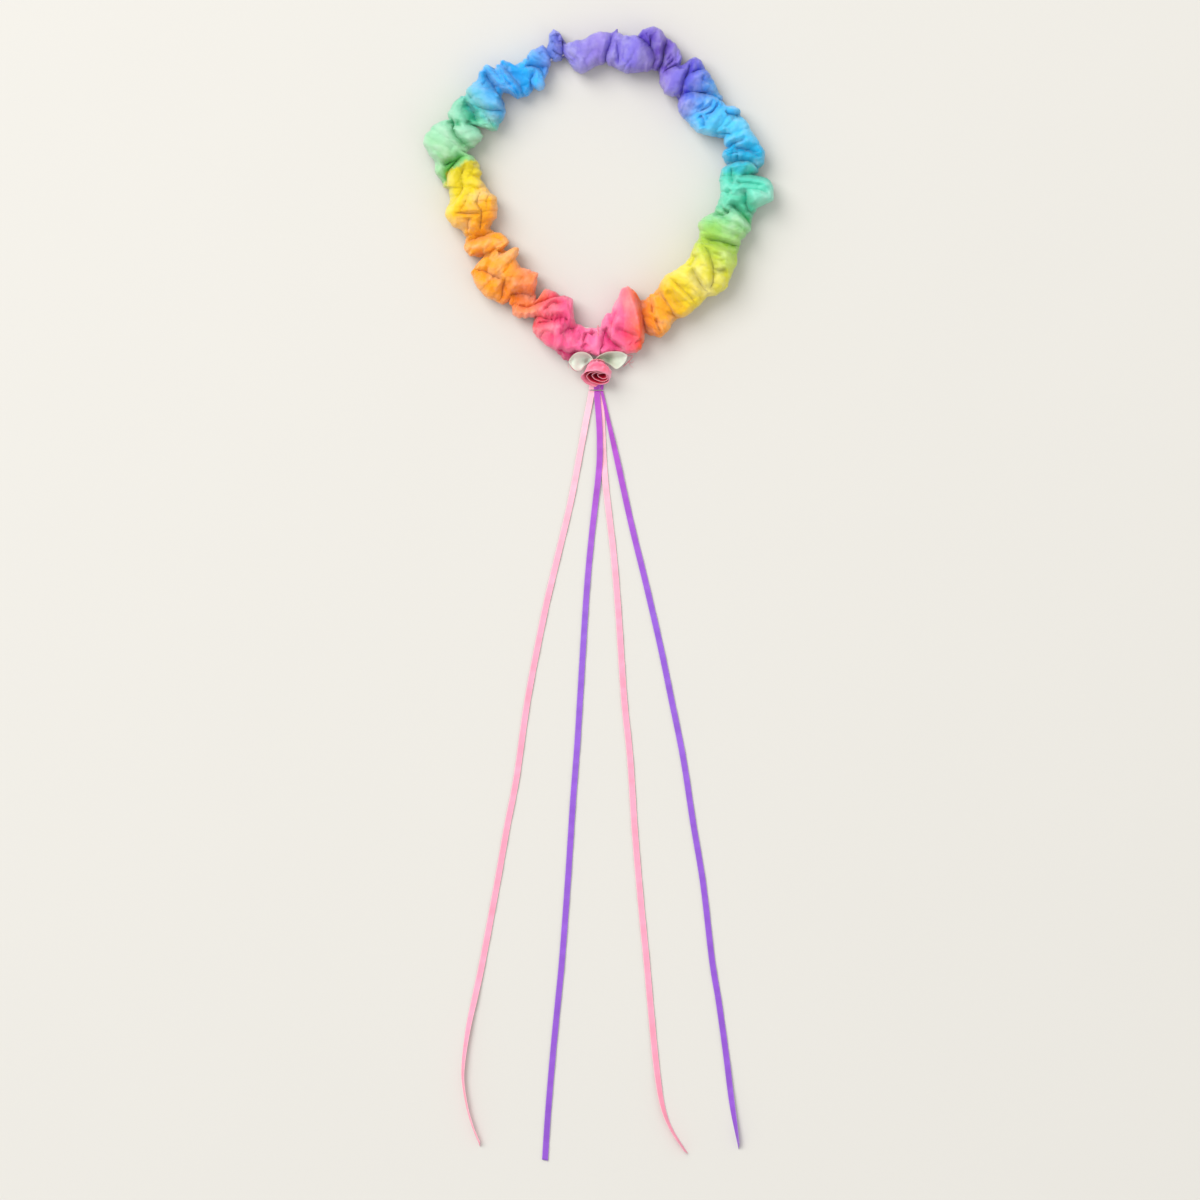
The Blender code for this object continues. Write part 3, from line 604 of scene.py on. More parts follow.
def pressFold(plan, line, depth, width, lap, valley, lift, shift):
    # one fold: a valley with straight sides, and on one side a lip that laps over it
    reach = 3.6 * width + 2 * abs(lap)
    near = np.all((plan > line.min(0) - reach) & (plan < line.max(0) + reach), axis=1)
    if not near.any():
        return
    index = np.flatnonzero(near)
    spots = plan[index]
    ahead = unitAhead(line)
    gaps = np.linalg.norm(spots[:, None] - line[None], axis=2)
    nearest = gaps.argmin(1)
    away = spots - line[nearest]
    cross = ahead[nearest, 0] * away[:, 1] - ahead[nearest, 1] * away[:, 0]
    side = np.sign(lap) if lap else 1.0
    along = nearest / (len(line) - 1)
    fade = np.clip(np.minimum(along, 1 - along) / silk["fadeShare"] + 0.1, 0, 1)
    q = -side * np.sign(cross) * gaps[np.arange(len(index)), nearest]  # below 0 on the side that laps over
    run = np.where(q > 0, q / (silk["farRun"] * width), -q / (silk["nearRun"] * width))
    straight = silk["straight"] * np.clip(1 - run, 0, 1)
    pressed = fade * depth * (straight + (1 - silk["straight"]) * np.exp(-3.5 * run))
    valley[index] = np.maximum(valley[index], pressed)
    lift[index] += fade * silk["lipHeight"] * abs(lap) * np.exp(-((q + 0.9 * width) / (0.8 * width)) ** 2)
    over = np.where(q > 0, np.exp(-(q / silk["lapFade"]) ** 2), np.exp(-(q / (1.3 * width)) ** 2))
    normal = np.column_stack([ahead[nearest, 1], -ahead[nearest, 0]]) * side
    shift[index] += normal * (fade * abs(lap) * over)[:, None]


def sleeveSides():
    # points round the sleeve: close together on top, fewer underneath
    top = np.linspace(-14, 194, silk["topPoints"], endpoint=False)
    under = np.linspace(194, 346, silk["underPoints"], endpoint=False)
    return np.radians(np.concatenate([top, under]))


def squared(wave):
    # a sine or cosine with fuller shoulders
    return np.sign(wave) * np.abs(wave) ** silk["squareness"]


def sleevePoints(angles, phi):
    ribs = plainRibs(angles)
    width = ribs[:, 1] - ribs[:, 0]
    inner = ribs[:, 0] + width * easedTable(innerEdge, angles)[:, 0]
    outer = ribs[:, 0] + width * easedTable(outerEdge, angles)[:, 0]
    middle, half = (inner + outer) / 2, (outer - inner) / 2
    fromEnd = np.minimum(angles - silk["start"], silk["end"] - angles)
    base = 0.25 + silk["endLift"] * np.clip(1 - fromEnd / silk["endRun"], 0, 1)
    height = ribs[:, 2] * (0.9 + 0.1 * np.clip(half * 2 / width, 0.6, 1.15))
    radius = middle[:, None] + half[:, None] * squared(np.cos(phi))
    crown = squared(np.sin(phi))
    low = 0.34 * height[:, None]
    rise = low + np.where(crown > 0, height[:, None] - low, low) * crown
    return radius, base[:, None] + rise * (1 - base[:, None] / 40), height


def aroundRing(radius, rise, angles):
    turn = np.radians(angles)[:, None]
    return np.stack([radius * np.cos(turn), radius * np.sin(turn), rise], -1)


def resample(field, at, wrap):
    # a smooth reading of rows of a field at fractional row numbers
    low = np.floor(at).astype(int)
    t = (at - low).reshape(-1, *([1] * (field.ndim - 1)))
    last = len(field)
    return throughFour(*(field[(low + k) % last if wrap else np.clip(low + k, 0, last - 1)]
                         for k in range(-1, 3)), t)


gatherSetup = {"columns": 420, "sides": 40, "stretch": 1.8, "frames": 24, "soft": 0.02, "neckHold": 0.35,
               "neckWidth": 14.0, "neckFade": 8.0, "bumps": 40, "unevenness": 1.0, "cap": 2.6, "seed": 4}
gatherCloth = {"quality": 5, "mass": 0.1, "tension_stiffness": 15.0, "compression_stiffness": 10.0,
               "shear_stiffness": 5.0, "bending_stiffness": 0.08, "vertex_group_mass": "held",
               "pin_stiffness": 1.0, "use_pressure": True, "uniform_pressure_force": 0.3}


def gatherSilk():
    # cloth simulation of a long tube drawn back onto the short elastic, so that it buckles into gathers;
    # gives how far each point of a coarse sleeve moves, in millimetres
    rng = np.random.default_rng(gatherSetup["seed"])
    angles = np.linspace(silk["start"], silk["end"], gatherSetup["columns"])
    phi = np.linspace(0, math.tau, gatherSetup["sides"], endpoint=False)
    radius, rise, height = sleevePoints(angles, phi)
    bumps = np.zeros(radius.shape)
    for _ in range(gatherSetup["bumps"]):
        bumps += np.sin(np.radians(angles)[:, None] * rng.integers(20, 70)
                        + phi[None, :] * rng.integers(-3, 4) + rng.uniform(0, math.tau))
    bumps *= gatherSetup["unevenness"] / gatherSetup["bumps"] ** 0.5
    lifted = np.maximum(rise + 0.5 * bumps * np.sin(phi), 0.3)
    start = aroundRing(radius + 0.5 * bumps * np.cos(phi), lifted, angles)
    middle = radius.mean(1, keepdims=True)
    cut = aroundRing(radius - middle + middle.mean() * gatherSetup["stretch"], rise, angles)
    tube = gridMesh("gathering_tube", start, True)
    tube.location = (0, 0, 0)
    facesOut(tube)
    tube.shape_key_add(name="Basis")
    restKey = tube.shape_key_add(name="cut")
    restKey.data.foreach_set("co", (cut * mm).astype(np.float32).reshape(-1))
    span = radius.max(1) - radius.min(1)
    neck = np.clip(1 - (span - gatherSetup["neckWidth"]) / gatherSetup["neckFade"], 0, 1)
    hold = gatherSetup["soft"] + gatherSetup["neckHold"] * neck
    hold[:2] = hold[-2:] = 1.0
    pins = tube.vertex_groups.new(name="held")
    for k, share in enumerate(hold):
        row = range(k * gatherSetup["sides"], (k + 1) * gatherSetup["sides"])
        pins.add(list(row), float(share), "REPLACE")
    cloth = tube.modifiers.new("Cloth", "CLOTH")
    cloth.point_cache.frame_end = gatherSetup["frames"]
    for key, value in gatherCloth.items():
        setattr(cloth.settings, key, value)
    cloth.settings.rest_shape_key = restKey
    cloth.settings.effector_weights.gravity = 0
    cloth.collision_settings.use_self_collision = False
    cloth.collision_settings.distance_min = 0.0008
    bpy.ops.mesh.primitive_plane_add(size=0.4, location=(0, 0, -0.0005))
    ground = bpy.context.object
    ground.modifiers.new("ground", "COLLISION")
    ground.collision.thickness_outer = 0.0005
    for frameNumber in range(1, gatherSetup["frames"] + 1):
        scene.frame_set(frameNumber)
    settled = tube.evaluated_get(bpy.context.evaluated_depsgraph_get()).data
    places = np.empty(len(settled.vertices) * 3, np.float32)
    settled.vertices.foreach_get("co", places)
    moved = places.reshape(start.shape) / mm - start
    scene.frame_set(1)
    for helper in (tube, ground):
        bpy.data.objects.remove(helper)
    far = np.linalg.norm(moved, axis=-1, keepdims=True)
    print("gathers moved the cloth", round(float(far.mean()), 2), "mm on average")
    return moved * gatherSetup["cap"] * np.tanh(far / gatherSetup["cap"]) / np.maximum(far, 1e-6)


def fineRidges(along, across):
    # small sharp creases that cross the sleeve, wandering and fading in patches, from seeded waves
    rng = np.random.default_rng(silk["seed"])
    total = np.zeros(along.shape)
    for spacing, depth, count in silk["ridges"]:
        for _ in range(count):
            phase = rng.uniform(0, math.tau, 5)
            warp = (1.9 * np.sin(along / 11.3 + phase[0]) + 1.3 * np.sin(across / 4.7 + phase[1])
                    + 1.1 * np.sin((along + across) / 6.1 + phase[2]))
            lean = along + rng.normal(0, 0.5) * across
            wave = np.abs(np.sin(math.pi * lean / spacing + warp * 0.55))
            patch = np.sin(along / (2.1 * spacing) + phase[3]) * np.sin(across / 8 + phase[4])
            patch = np.clip(0.5 + patch, 0, 1)
            total += depth * patch * (1 - wave) ** 2
    return total


def foldSilk():
    angles, phi = np.linspace(silk["start"], silk["end"], silk["columns"]), sleeveSides()
    radius, rise, height = sleevePoints(angles, phi)
    turn = np.radians(angles)[:, None]
    plan = aroundRing(radius, rise, angles)[..., :2].reshape(-1, 2)
    valley = np.zeros(len(plan))
    crinkle = np.zeros(len(plan))
    lift = np.zeros(len(plan))
    shift = np.zeros((len(plan), 2))
    for places, depth, width, lap in gathers:
        line = smoothLine(planPlace(places), silk["foldSpacing"])
        pressFold(plan, line, depth * silk["depthGain"], width * silk["widthGain"],
                  lap * silk["lapGain"], valley, lift, shift)
    rng = np.random.default_rng(smallCreases["seed"])
    for _ in range(smallCreases["count"]):
        angle = rng.uniform(-88, 268)
        share = rng.uniform(0.0, 1.0)
        reach = rng.uniform(*smallCreases["reach"])
        lean = rng.normal(0, smallCreases["lean"])
        middle = planPlace([(angle, share)])[0]
        outward = middle / np.linalg.norm(middle)
        direction = outward * math.cos(lean) + np.array((-outward[1], outward[0])) * math.sin(lean)
        bend = np.array((-direction[1], direction[0])) * rng.normal(0, smallCreases["bend"]) * reach
        half = direction * reach / 2
        line = smoothLine([middle - half, middle + bend, middle + half], silk["foldSpacing"])
        pressFold(plan, line, rng.uniform(*smallCreases["depth"]), rng.uniform(*smallCreases["width"]),
                  rng.choice((-smallCreases["lap"], smallCreases["lap"])), crinkle, lift, shift)
    push = (valley + crinkle * (1 - 0.6 * np.clip(valley / 4, 0, 1)) - lift).reshape(radius.shape)
    along = np.radians(angles)[:, None] * radius.mean() * np.ones(radius.shape)
    ridges = fineRidges(along, radius)
    # shade keeps the fold depth, with the fine ridges, as a mask for painted shade and painted highlight in
    # the silk's colour
    shade = push + 0.4 * ridges
    push = push + ridges
    shift = shift.reshape(*radius.shape, 2)
    topSide = np.clip((np.sin(phi) + 0.45) / 0.5, 0, 1)[None, :]  # folds fade out underneath
    limit = silk["deepest"] * np.minimum(height[:, None], rise + 3.0)
    push = np.where(push > 0, limit * np.tanh(push / limit), push) * (0.15 + 0.85 * topSide)
    shift = shift * topSide[..., None]
    radius = radius - push * np.cos(phi) * 0.5
    points = np.stack([radius * np.cos(turn) + shift[..., 0], radius * np.sin(turn) + shift[..., 1],
                       rise - push * np.clip(np.sin(phi), 0, 1) ** 0.6], -1)
    moved = resample(gatherSilk(), np.linspace(0, gatherSetup["columns"] - 1, silk["columns"]), False)
    moved = resample(moved.swapaxes(0, 1), phi / math.tau * gatherSetup["sides"], True).swapaxes(0, 1)
    points = points + moved * (1 - 0.5 * np.clip(push / 5, 0, 1))[..., None]
    # the cloth never sinks into the elastic inside it, nor into what it lies on
    ribs = plainRibs(angles)
    elasticRadius = 0.3 * (ribs[:, 0] + ribs[:, 1]) + 0.4 * silk["elasticRadius"]
    offset = np.linalg.norm(points[..., :2], axis=-1) - elasticRadius[:, None]
    cover = silk["elasticTop"] * np.exp(-((offset / silk["elasticHalf"]) ** 4)) * (np.sin(phi) > 0.2)[None, :]
    points[..., 2] = np.maximum(points[..., 2], np.maximum(cover, 0.2))
    return angles, phi, points, shade


# the dye bands run slantwise where the sleeve was twisted: angle, degrees of slant from edge to edge
dyeSlant = (
    (-90, 0), (-75, 4), (-60, 0), (8, 0), (16, 5), (36, 0), (42, -9), (54, -4), (64, 0), (104, 0),
    (130, 0), (146, 5), (156, 0), (163, -4), (171, -13), (184, -17), (194, -14), (206, 0), (230, -5),
    (246, 0), (270, 0),
)


def dyeAngles(angles, phi):
    slant = easedTable(dyeSlant, angles)[:, 0]
    return angles[:, None] + slant[:, None] * np.cos(phi)[None, :] / 2


angles, phi, silkPoints, silkFoldShade = foldSilk()
dye = (dyeAngles(angles, phi) + 90) / 360
# fold is how deep each point is pressed into a fold: the mask for painted shade in the folds and a painted
# highlight on their crests
masks = {"dye": dye, "fold": np.clip(silkFoldShade / 5, -1, 1)}
sleeve = gridMesh("silk_sleeve_cloth", silkPoints, True, masks)
facesOut(sleeve)
addSolidify(sleeve, silk["wall"], -1.0, False)
print("silk folded")

# angle and colour of the dye round the ring
dyeRight = (
    (-90, (250, 125, 175)), (-80, (255, 122, 160)), (-74.5, (255, 112, 112)), (-72, (255, 104, 50)),
    (-69, (248, 138, 45)), (-63, (250, 170, 48)), (-58.4, (248, 172, 20)), (-56, (245, 190, 36)),
    (-51, (238, 208, 50)), (-45, (238, 222, 98)), (-37, (224, 218, 70)), (-30, (190, 212, 82)),
    (-22, (160, 212, 106)), (-14, (152, 214, 162)), (-9, (115, 202, 165)), (-2, (120, 222, 195)),
    (5, (88, 205, 185)), (10, (58, 182, 224)), (16, (60, 185, 240)), (26, (105, 208, 252)),
    (37, (85, 175, 250)), (43, (95, 130, 225)), (50, (130, 128, 225)), (59, (138, 122, 210)),
    (66, (118, 96, 190)), (78, (140, 130, 222)), (90, (150, 135, 216)),
)
dyeLeft = (
    (90, (150, 135, 216)), (102, (142, 136, 216)), (112, (125, 152, 228)), (119, (88, 185, 255)),
    (130, (22, 168, 255)), (140, (100, 180, 235)), (146, (90, 190, 195)), (150, (125, 205, 175)),
    (163, (160, 215, 175)), (170.6, (150, 205, 140)), (172, (222, 208, 60)), (182, (240, 212, 50)),
    (188, (250, 185, 45)), (200, (255, 162, 6)), (222, (255, 158, 10)), (232, (252, 135, 70)),
    (240, (255, 155, 118)), (245, (250, 120, 128)), (255, (248, 105, 148)), (270, (250, 125, 175)),
)


def dyeRamp(tree, place, stops, low):
    # one half of the ring's dye as a colour ramp over its own 180 degrees
    share = spread(tree, place, 0.0, 1.0, (low + 90) / 360, (low + 270) / 360)
    return colourRamp(tree, share, [((angle - low) / 180, colour) for angle, colour in stops])


def changed(tree, colour, saturation, value):
    values = {"Saturation": saturation, "Value": value, "Color": colour}
    return addNode(tree, "ShaderNodeHueSaturation", values).outputs[0]


def makeSilk():
    material, tree, shader = newMaterial("dyedSilk", {
        "Sheen Weight": 0.25, "Sheen Roughness": 0.35, "Specular IOR Level": 0.6,
        "Sheen Tint": (1.0, 0.98, 0.96, 1.0)})
    bleed = mathNode(tree, "SUBTRACT", noise(tree, objectPlace(tree), 140.0, 3.0, 0.6), 0.5)
    dyePlace = mathNode(tree, "ADD", attribute(tree, "dye"), mathNode(tree, "MULTIPLY", bleed, 0.02))
    leftHalf = mathNode(tree, "GREATER_THAN", dyePlace, 0.5)
    right, left = dyeRamp(tree, dyePlace, dyeRight, -90), dyeRamp(tree, dyePlace, dyeLeft, 90)
    colour = changed(tree, mixColour(tree, leftHalf, right, left), 1.06, 1.2)
    # painted shade: a darker, richer copy of the dye down in the folds; painted highlight: paler towards
    # white on their crests
    fold = attribute(tree, "fold")
    valley = mathNode(tree, "MULTIPLY", fold, 0.85, clamp=True)
    colour = mixColour(tree, valley, colour, changed(tree, colour, 1.75, 0.66))
    crestHighlight = mathNode(tree, "MULTIPLY", mathNode(tree, "SUBTRACT", 0.1, fold), 1.5, clamp=True)
    colour = mixColour(tree, mathNode(tree, "MULTIPLY", crestHighlight, 0.4), colour, white)
    uneven = addWeave(tree, shader, 5200.0, 150.0, 0.85, 0.65, 0.95)
    colour = mixColour(tree, spread(tree, uneven, 0.0, 0.22, 0.5, 0.75), colour, white)
    linkSurface(tree, shader, colour, spread(tree, uneven, 0.26, 0.42))
    return material


finishPiece(sleeve, makeSilk(), "garland")
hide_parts("silk_sleeve")
print("sleeve ready")

# rose: a ribbon rolled round a core that sits to one side of the mouth
rose = {"mouth": (-1.6, -100.3, 10.9), "lean": 31.0, "turn": 9.0, "roll": 8.0, "depth": 9.6, "radius": 7.9,
        "turns": 3.6, "perTurn": 1.75, "drift": (1.15, 0.55), "steps": 420, "wall": 0.3, "recess": 0.35,
        "bulge": 2.1, "pleats": 13, "pleatDepth": 0.55, "flare": 0.45, "seed": 21}
# depth share and radius share of the body behind the mouth
roseProfile = ((0, 1.0), (0.06, 0.975), (0.16, 0.985), (0.32, 1.0), (0.5, 0.93), (0.7, 0.74), (0.86, 0.54),
               (1, 0.42))


def rosePoints():
    lean, turn, roll = (math.radians(rose[k]) for k in ("lean", "turn", "roll"))
    out = np.array((-math.sin(turn) * math.cos(lean), -math.cos(turn) * math.cos(lean), math.sin(lean)))
    level = np.cross((0.0, 0.0, 1.0), out)
    level /= np.linalg.norm(level)
    over = np.cross(out, level)
    side = level * math.cos(roll) + over * math.sin(roll)
    up = over * math.cos(roll) - level * math.sin(roll)
    side = side if side[0] > 0 else -side
    rng = np.random.default_rng(rose["seed"])
    phases = rng.uniform(0, math.tau, 6)
    deep = smoothLine(roseProfile, 0.055)
    grid, depths, insides = [], [], []
    for k in range(rose["steps"] + 1):
        wind = rose["turns"] * k / rose["steps"]
        theta = -math.pi / 2 - math.tau * wind
        base = rose["radius"] - rose["perTurn"] * wind
        inward = min(1.0, max(0.0, (wind - 0.85) / 0.15))
        centre = (rose["drift"][0] * wind, rose["drift"][1] * wind)
        around = side * math.cos(theta) + up * math.sin(theta)
        row = []
        for share, radius in deep:
            pleat = math.sin(theta * rose["pleats"] + phases[0] + 2.2 * share)
            pleat *= rose["pleatDepth"] * share**1.5
            soft = 0.16 * math.sin(theta * 3 + phases[1]) + 0.1 * math.sin(theta * 7 + phases[2] + share * 5)
            lines = 0.14 * math.sin(share * 46 + 2.6 * math.cos(theta + 0.4))
            lines *= max(0.0, math.cos(theta - 0.5))
            lip = rose["flare"] * math.exp(-share / 0.05) * (1 - 0.5 * min(1, wind))
            r = max(0.5, base * radius + (pleat + soft + lines * (wind < 1)) * min(1, base / 5) + lip * 0.5)
            shift = rose["bulge"] * math.sin(math.pi * min(1.0, share / 0.8)) * (1 - min(1, wind * 0.6))
            back = rose["depth"] * share + rose["recess"] * wind + 0.25 * math.sin(theta * 2 + phases[3])
            row.append(np.array(rose["mouth"]) - out * back + around * r
                       + side * (centre[0] * (1 - share) + shift) + up * centre[1] * (1 - share))
        grid.append(row)
        depths.append(deep[:, 0])
        insides.append(np.full(len(deep), inward))
    return np.array(grid), {"deep": np.array(depths), "inside": np.array(insides)}


def makeRoseSatin():
    # rolled satin: pale on the outer wrap and along the edges, and down between the turns a deep red that is
    # painted shade
    material, tree, shader = newMaterial("roseSatin", {
        "Sheen Weight": 0.3, "Sheen Roughness": 0.35, "Anisotropic": 0.4, "Specular IOR Level": 0.5,
        "Sheen Tint": (1.0, 0.85, 0.9, 1.0)})
    deep, inside = attribute(tree, "deep"), attribute(tree, "inside")
    outer = colourRamp(tree, deep, ((0.0, (250, 132, 160)), (0.35, (246, 100, 132)), (0.75, (244, 122, 160)),
                                    (1.0, (215, 66, 104))))
    # inner turns: the ribbon's pale pink at the rim, darkening with depth to deep red as painted shade
    # between the turns
    inner = colourRamp(tree, deep, ((0.0, (255, 176, 194)), (0.035, (226, 52, 84)), (0.12, (196, 20, 54)),
                                    (0.6, (150, 10, 38))))
    pale = spread(tree, noise(tree, objectPlace(tree), 230.0, 3.0, 0.6), 0.0, 0.7, 0.42, 0.68)
    outside = mathNode(tree, "MULTIPLY", pale, mathNode(tree, "SUBTRACT", 1.0, inside))
    colour = mixColour(tree, outside, mixColour(tree, inside, outer, inner), linear((252, 176, 204)))
    uneven = addWeave(tree, shader, 3600.0, 200.0, 0.55, 0.4, 0.12)
    linkSurface(tree, shader, colour, spread(tree, uneven, 0.3, 0.48))
    return material


roseGrid, roseMasks = rosePoints()
rosePiece = gridMesh("rose_rolled", roseGrid, False, roseMasks)
addSolidify(rosePiece, rose["wall"])
finishPiece(rosePiece, makeRoseSatin(), "garland")
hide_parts("rose")
print("rose ready")

# leaves: upper edge and lower edge from the inner tip to the outer tip, x, y, height; then how deep the
# cup is and how far the tone goes from pale sage to olive
# swirl: the point where the painted shade in each leaf's hollow is darkest
leaves = {
    "leaf_left": {
        "upper": ((-2.4, -90.2, 7.6), (-3.9, -88.0, 9.8), (-6.6, -86.4, 11.4), (-9.9, -86.2, 12.0),
                  (-12.9, -87.6, 11.8), (-15.2, -90.6, 11.0)),
        "lower": ((-2.7, -90.8, 7.0), (-4.6, -91.6, 7.0), (-6.8, -93.6, 7.2), (-9.4, -96.2, 7.8),
                  (-12.6, -95.6, 9.4), (-15.5, -91.8, 10.6)),
        "cup": 2.8, "tone": (0.0, 0.3), "swirl": (-6.6, -91.0)},
    "leaf_right": {
        "upper": ((-1.8, -90.5, 7.6), (0.5, -88.2, 9.8), (4.5, -86.3, 11.2), (8.4, -85.9, 11.4),
                  (12.2, -86.2, 10.8), (15.6, -88.0, 9.6)),
        "lower": ((-1.5, -91.2, 7.0), (2.4, -91.0, 6.4), (6.6, -93.0, 5.6), (9.6, -95.2, 5.0),
                  (12.8, -93.2, 5.6), (15.0, -90.4, 7.4)),
        "cup": 3.6, "tone": (0.95, 0.15), "swirl": (5.0, -90.0)},
}
leafSetup = {"spacing": 0.42, "acrossSteps": 27, "wall": 0.28, "ripple": 0.28, "rimLift": 0.35,
             "rimBack": 0.245, "rimWidth": 0.07, "swirlSpread": 9.0}


def leafPoints(leaf, phase):
    edges = [smoothLine(leaf[key], leafSetup["spacing"]) for key in ("upper", "lower")]
    count = max(len(edge) for edge in edges)
    stops = np.linspace(0, 1, count)
    upper, lower = (np.column_stack([np.interp(stops, np.linspace(0, 1, len(e)), e[:, k]) for k in range(3)])
                    for e in edges)
    share = np.linspace(0, 1, leafSetup["acrossSteps"])
    grid = lower[:, None] * (1 - share[None, :, None]) + upper[:, None] * share[None, :, None]
    belly = np.sin(np.pi * stops)[:, None] ** 0.7
    grid[..., 2] -= leaf["cup"] * belly * np.sin(np.pi * share ** 1.7)[None, :]
    pleat = np.sin(stops * 19 + phase)[:, None] * np.sin(np.pi * share)[None, :]
    pleat = pleat + 0.7 * np.sin(share * 13 + phase)[None, :] * belly
    grid[..., 2] += leafSetup["ripple"] * pleat
    roll = np.exp(-((1 - share) / leafSetup["rimWidth"]) ** 2)[None, :] * belly
    grid[..., 2] += leafSetup["rimLift"] * roll
    grid[..., 1] -= leafSetup["rimBack"] * roll
    # rim: mask for a painted highlight along the rolled upper edge, fainter along the lower edge
    rim = np.exp(-((1 - share) / 0.09) ** 2)[None, :] + 0.35 * np.exp(-(share / 0.08) ** 2)[None, :]
    tone = leaf["tone"][0] * (1 - stops) + leaf["tone"][1] * stops
    # the hollow's painted shade: darkest at the swirl point, fading away from it
    away = (grid[..., 0] - leaf["swirl"][0]) ** 2 + (grid[..., 1] - leaf["swirl"][1]) ** 2
    return grid, {"rim": np.clip(rim * np.ones((count, 1)), 0, 1),
                  "tone": tone[:, None] * np.ones(len(share)),
                  "hollowShade": np.exp(-away / leafSetup["swirlSpread"])}


def makeLeafSatin():
    # sage satin: olive towards one tip, painted shade in the hollow, painted highlight along the rolled rim
    material, tree, shader = newMaterial("leafSatin", {
        "Sheen Weight": 0.3, "Sheen Roughness": 0.35, "Anisotropic": 0.3, "Specular IOR Level": 0.5})
    colour = mixColour(tree, attribute(tree, "tone"), linear((232, 243, 234)), linear((178, 192, 148)))
    for mask, share, tone in (("hollowShade", 0.75, (92, 108, 84)), ("rim", 0.9, (240, 240, 224))):
        factor = mathNode(tree, "MULTIPLY", attribute(tree, mask), share)
        colour = mixColour(tree, factor, colour, linear(tone))
    uneven = addWeave(tree, shader, 3600.0, 240.0, 0.55, 0.4, 0.12)
    mottle = spread(tree, uneven, 0.0, 0.3, 0.35, 0.7)
    colour = mixColour(tree, mottle, colour, linear((226, 232, 220)))
    linkSurface(tree, shader, colour, spread(tree, uneven, 0.32, 0.5))
    return material


leafSatin = makeLeafSatin()
for number, (name, leaf) in enumerate(leaves.items()):
    leafGrid, leafMasks = leafPoints(leaf, 0.6 + 1.9 * number)
    piece = gridMesh(name + "_satin", leafGrid, False, leafMasks)
    facesOut(piece)
    addSolidify(piece, leafSetup["wall"])
    smooth = piece.modifiers.new("smooth", "SUBSURF")
    smooth.levels = smooth.render_levels = 1
    finishPiece(piece, leafSatin, "garland")
    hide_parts(name)
print("leaves ready")

# the hidden middle of each ribbon, doubled back on itself under the rose: x, y, height, share of its width
foldRoutes = {
    "pink_fold": (
        (1.3, -105.85, 0.25, 1), (0.8, -100.0, 0.6, 1), (0.0, -95.0, 0.95, 1), (-0.1, -93.8, 0.97, 1),
        (-0.2, -93.4, 1.22, 1), (-0.3, -93.8, 1.48, 1), (-0.4, -95.0, 1.5, 1), (-1.8, -99.0, 1.3, 1),
        (-2.9, -103.0, 0.95, 1), (-3.3, -105.85, 0.85, 1),
    ),
    "purple_fold": (
        (2.0, -105.85, 0.85, 0.5), (2.2, -103.2, 1.0, 0.55), (2.0, -99.0, 1.7, 0.9), (1.3, -95.0, 2.05, 1),
        (1.2, -93.8, 2.07, 1), (1.1, -93.4, 2.33, 1), (1.0, -93.8, 2.58, 1), (0.9, -95.0, 2.6, 1),
        (0.4, -99.0, 2.4, 1), (-0.4, -103.2, 1.6, 1), (-0.6, -105.85, 0.85, 1),
    ),
}
for name, route in foldRoutes.items():
    line = smoothLine(route, ribbon["hiddenSpacing"])
    across = np.tile((1.0, 0.0, 0.0), (len(line), 1))
    face = np.cross(unitAhead(line[:, :3]), across)
    piece = ribbonSkin(name + "_satin", line, across, face, line[:, 3], hidden=True)
    tint = name.split("_")[0]
    finishPiece(piece, satins[tint], "garland")
    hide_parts(name)
print("folds ready")


def makeThread(name, colour, pale, twist):
    # spun thread: a slanting twist, fuzz and a paler ply
    material, tree, shader = newMaterial(name, {"Sheen Weight": 0.5, "Sheen Roughness": 0.5})
    values = {"Vector": objectPlace(tree), "Scale": twist, "Distortion": 2.0, "Detail": 2.0}
    ply = addNode(tree, "ShaderNodeTexWave", values, wave_type="BANDS",
                  bands_direction="DIAGONAL").outputs["Fac"]
    addBump(tree, shader, ply, 0.6, 0.1)
    mixed = mixColour(tree, ply, linear(colour), linear(pale))
    linkSurface(tree, shader, mixed, spread(tree, ply, 0.55, 0.8))
    return material


pinkThread = makeThread("pinkThread", (214, 84, 110), (244, 150, 168), 520.0)
knitElastic = makeThread("knitElastic", (222, 218, 206), (242, 240, 232), 380.0)
threadSetup = {"spacing": 0.4, "strand": 0.17, "hair": 0.07}
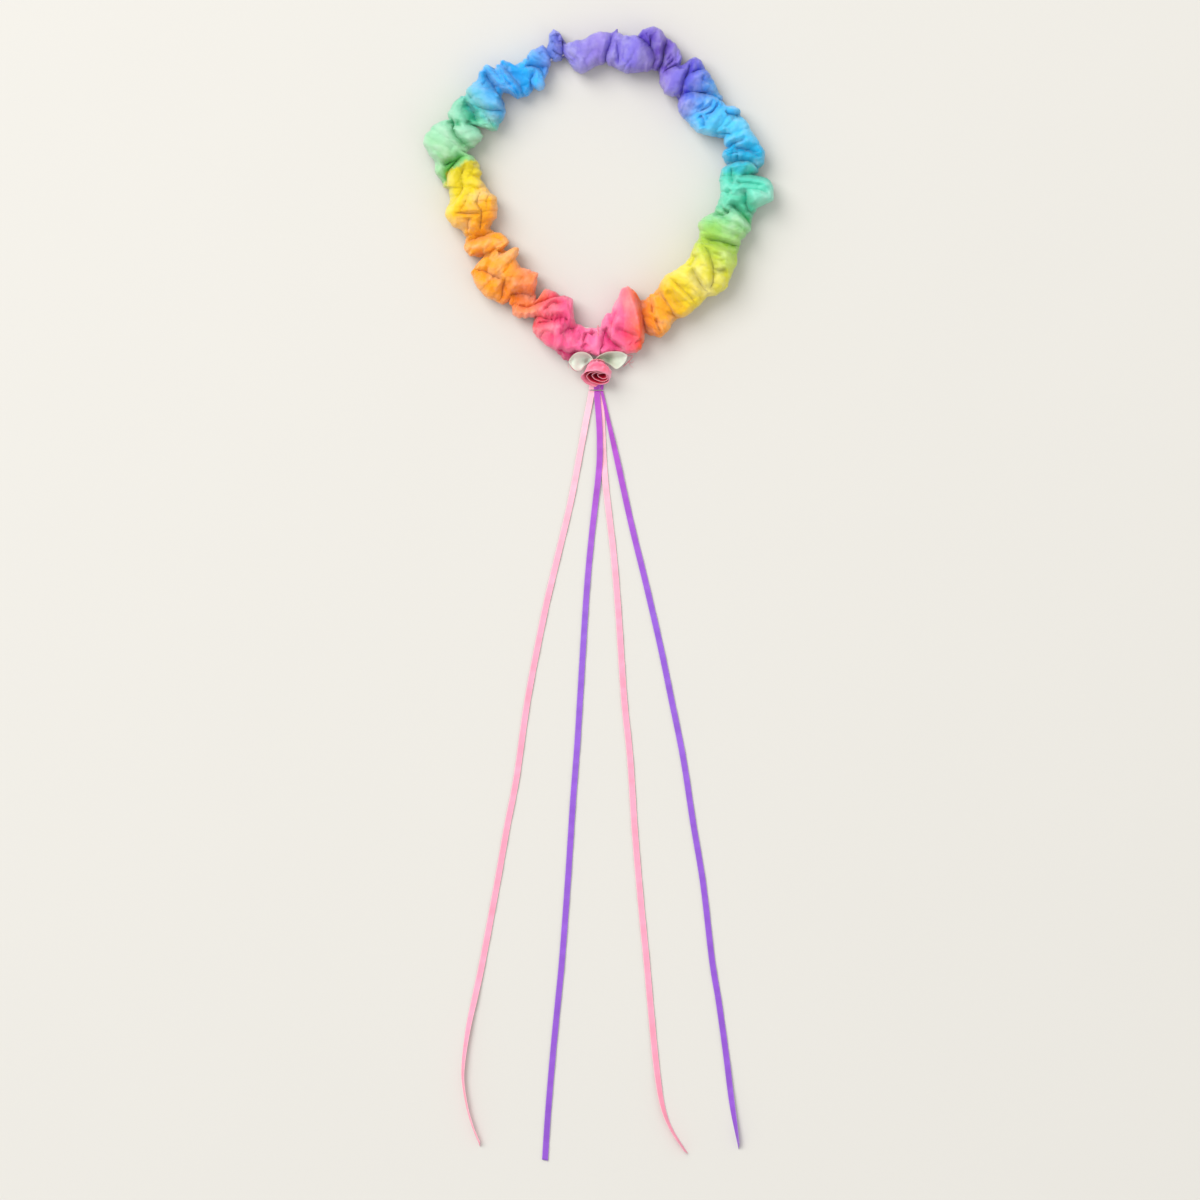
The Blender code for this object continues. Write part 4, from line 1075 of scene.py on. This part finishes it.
# loose ends: each a frayed strand with one or two finer hairs
threadTails = {
    "thread_tail_left": (
        ((-12.5, -89.5, 1.8), (-14.6, -92.0, 1.2), (-13.4, -94.8, 0.6), (-11.2, -96.0, 0.45)),
        ((-13.2, -90.2, 1.6), (-15.8, -92.6, 0.7), (-15.4, -94.4, 0.3)),
    ),
    "thread_tail_right": (
        ((14.0, -88.0, 4.0), (18.2, -88.2, 2.0), (16.0, -91.2, 0.9), (13.4, -93.6, 0.45)),
        ((16.6, -90.4, 1.0), (17.0, -92.8, 0.4), (18.6, -94.2, 0.3)),
        ((15.6, -91.2, 0.9), (17.8, -91.6, 0.5), (19.0, -90.8, 0.3)),
    ),
}
for name, strands in threadTails.items():
    lines = [smoothLine(strand, threadSetup["spacing"]) for strand in strands]
    main = threadCurve(name + "_strand", lines[:1], threadSetup["strand"])
    hairs = threadCurve(name + "_hairs", lines[1:], threadSetup["hair"])
    for piece in (main, hairs):
        finishPiece(piece, pinkThread, "garland")
    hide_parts(name)

nodeFinishes = {"elastic_loop": knitElastic, "elastic_stitch": pinkThread, "ribbon_tie": pinkThread,
                "sleeve_closing_stitch": pinkThread, "rose_base_thread": pinkThread}
for name, finish in nodeFinishes.items():
    nodes[name].data.materials.clear()
    nodes[name].data.materials.append(finish)
print("threads ready")

stageSetup = {"size": 16.0, "colour": (212, 211, 207), "skyColour": (1.0, 0.985, 0.96, 1.0), "sky": 0.73}
# place, power, size and colour of each lamp
lamps = {"windowLight": ((-2.0, 1.9, 3.4), 165.0, 3.0, (1.0, 0.98, 0.95)),
         "fillLight": ((1.6, -1.2, 1.8), 5.0, 1.5, (1.0, 0.96, 0.9))}


def addFloor():
    bpy.ops.mesh.primitive_plane_add(size=stageSetup["size"], location=(0, 0, -0.0002))
    floor = bpy.context.object
    floor.name = "paleFloor"
    material, tree, shader = newMaterial("palePaper", {"Roughness": 0.85, "Specular IOR Level": 0.2})
    base = linear(stageSetup["colour"])
    shade = tuple(c * 0.985 for c in base[:3]) + (1.0,)
    colour = mixColour(tree, noise(tree, objectPlace(tree), 7.0, 2.0), base, shade)
    tree.links.new(colour, shader.inputs["Base Color"])
    floor.data.materials.append(material)


def addAreaLight(name, place, power, size, colour):
    data = bpy.data.lights.new(name, "AREA")
    data.energy = power
    data.size = size
    data.color = colour
    lamp = bpy.data.objects.new(name, data)
    lamp.location = place
    lamp.rotation_euler = (Vector((0, -0.05, 0)) - Vector(place)).to_track_quat("-Z", "Y").to_euler()
    scene.collection.objects.link(lamp)


addFloor()
for name, lamp in lamps.items():
    addAreaLight(name, *lamp)
world = bpy.data.worlds.new("softRoom")
scene.world = world
world.use_nodes = True
world.node_tree.nodes["Background"].inputs[0].default_value = stageSetup["skyColour"]
world.node_tree.nodes["Background"].inputs[1].default_value = stageSetup["sky"]
scene.view_settings.view_transform = "Standard"
print("stage ready")
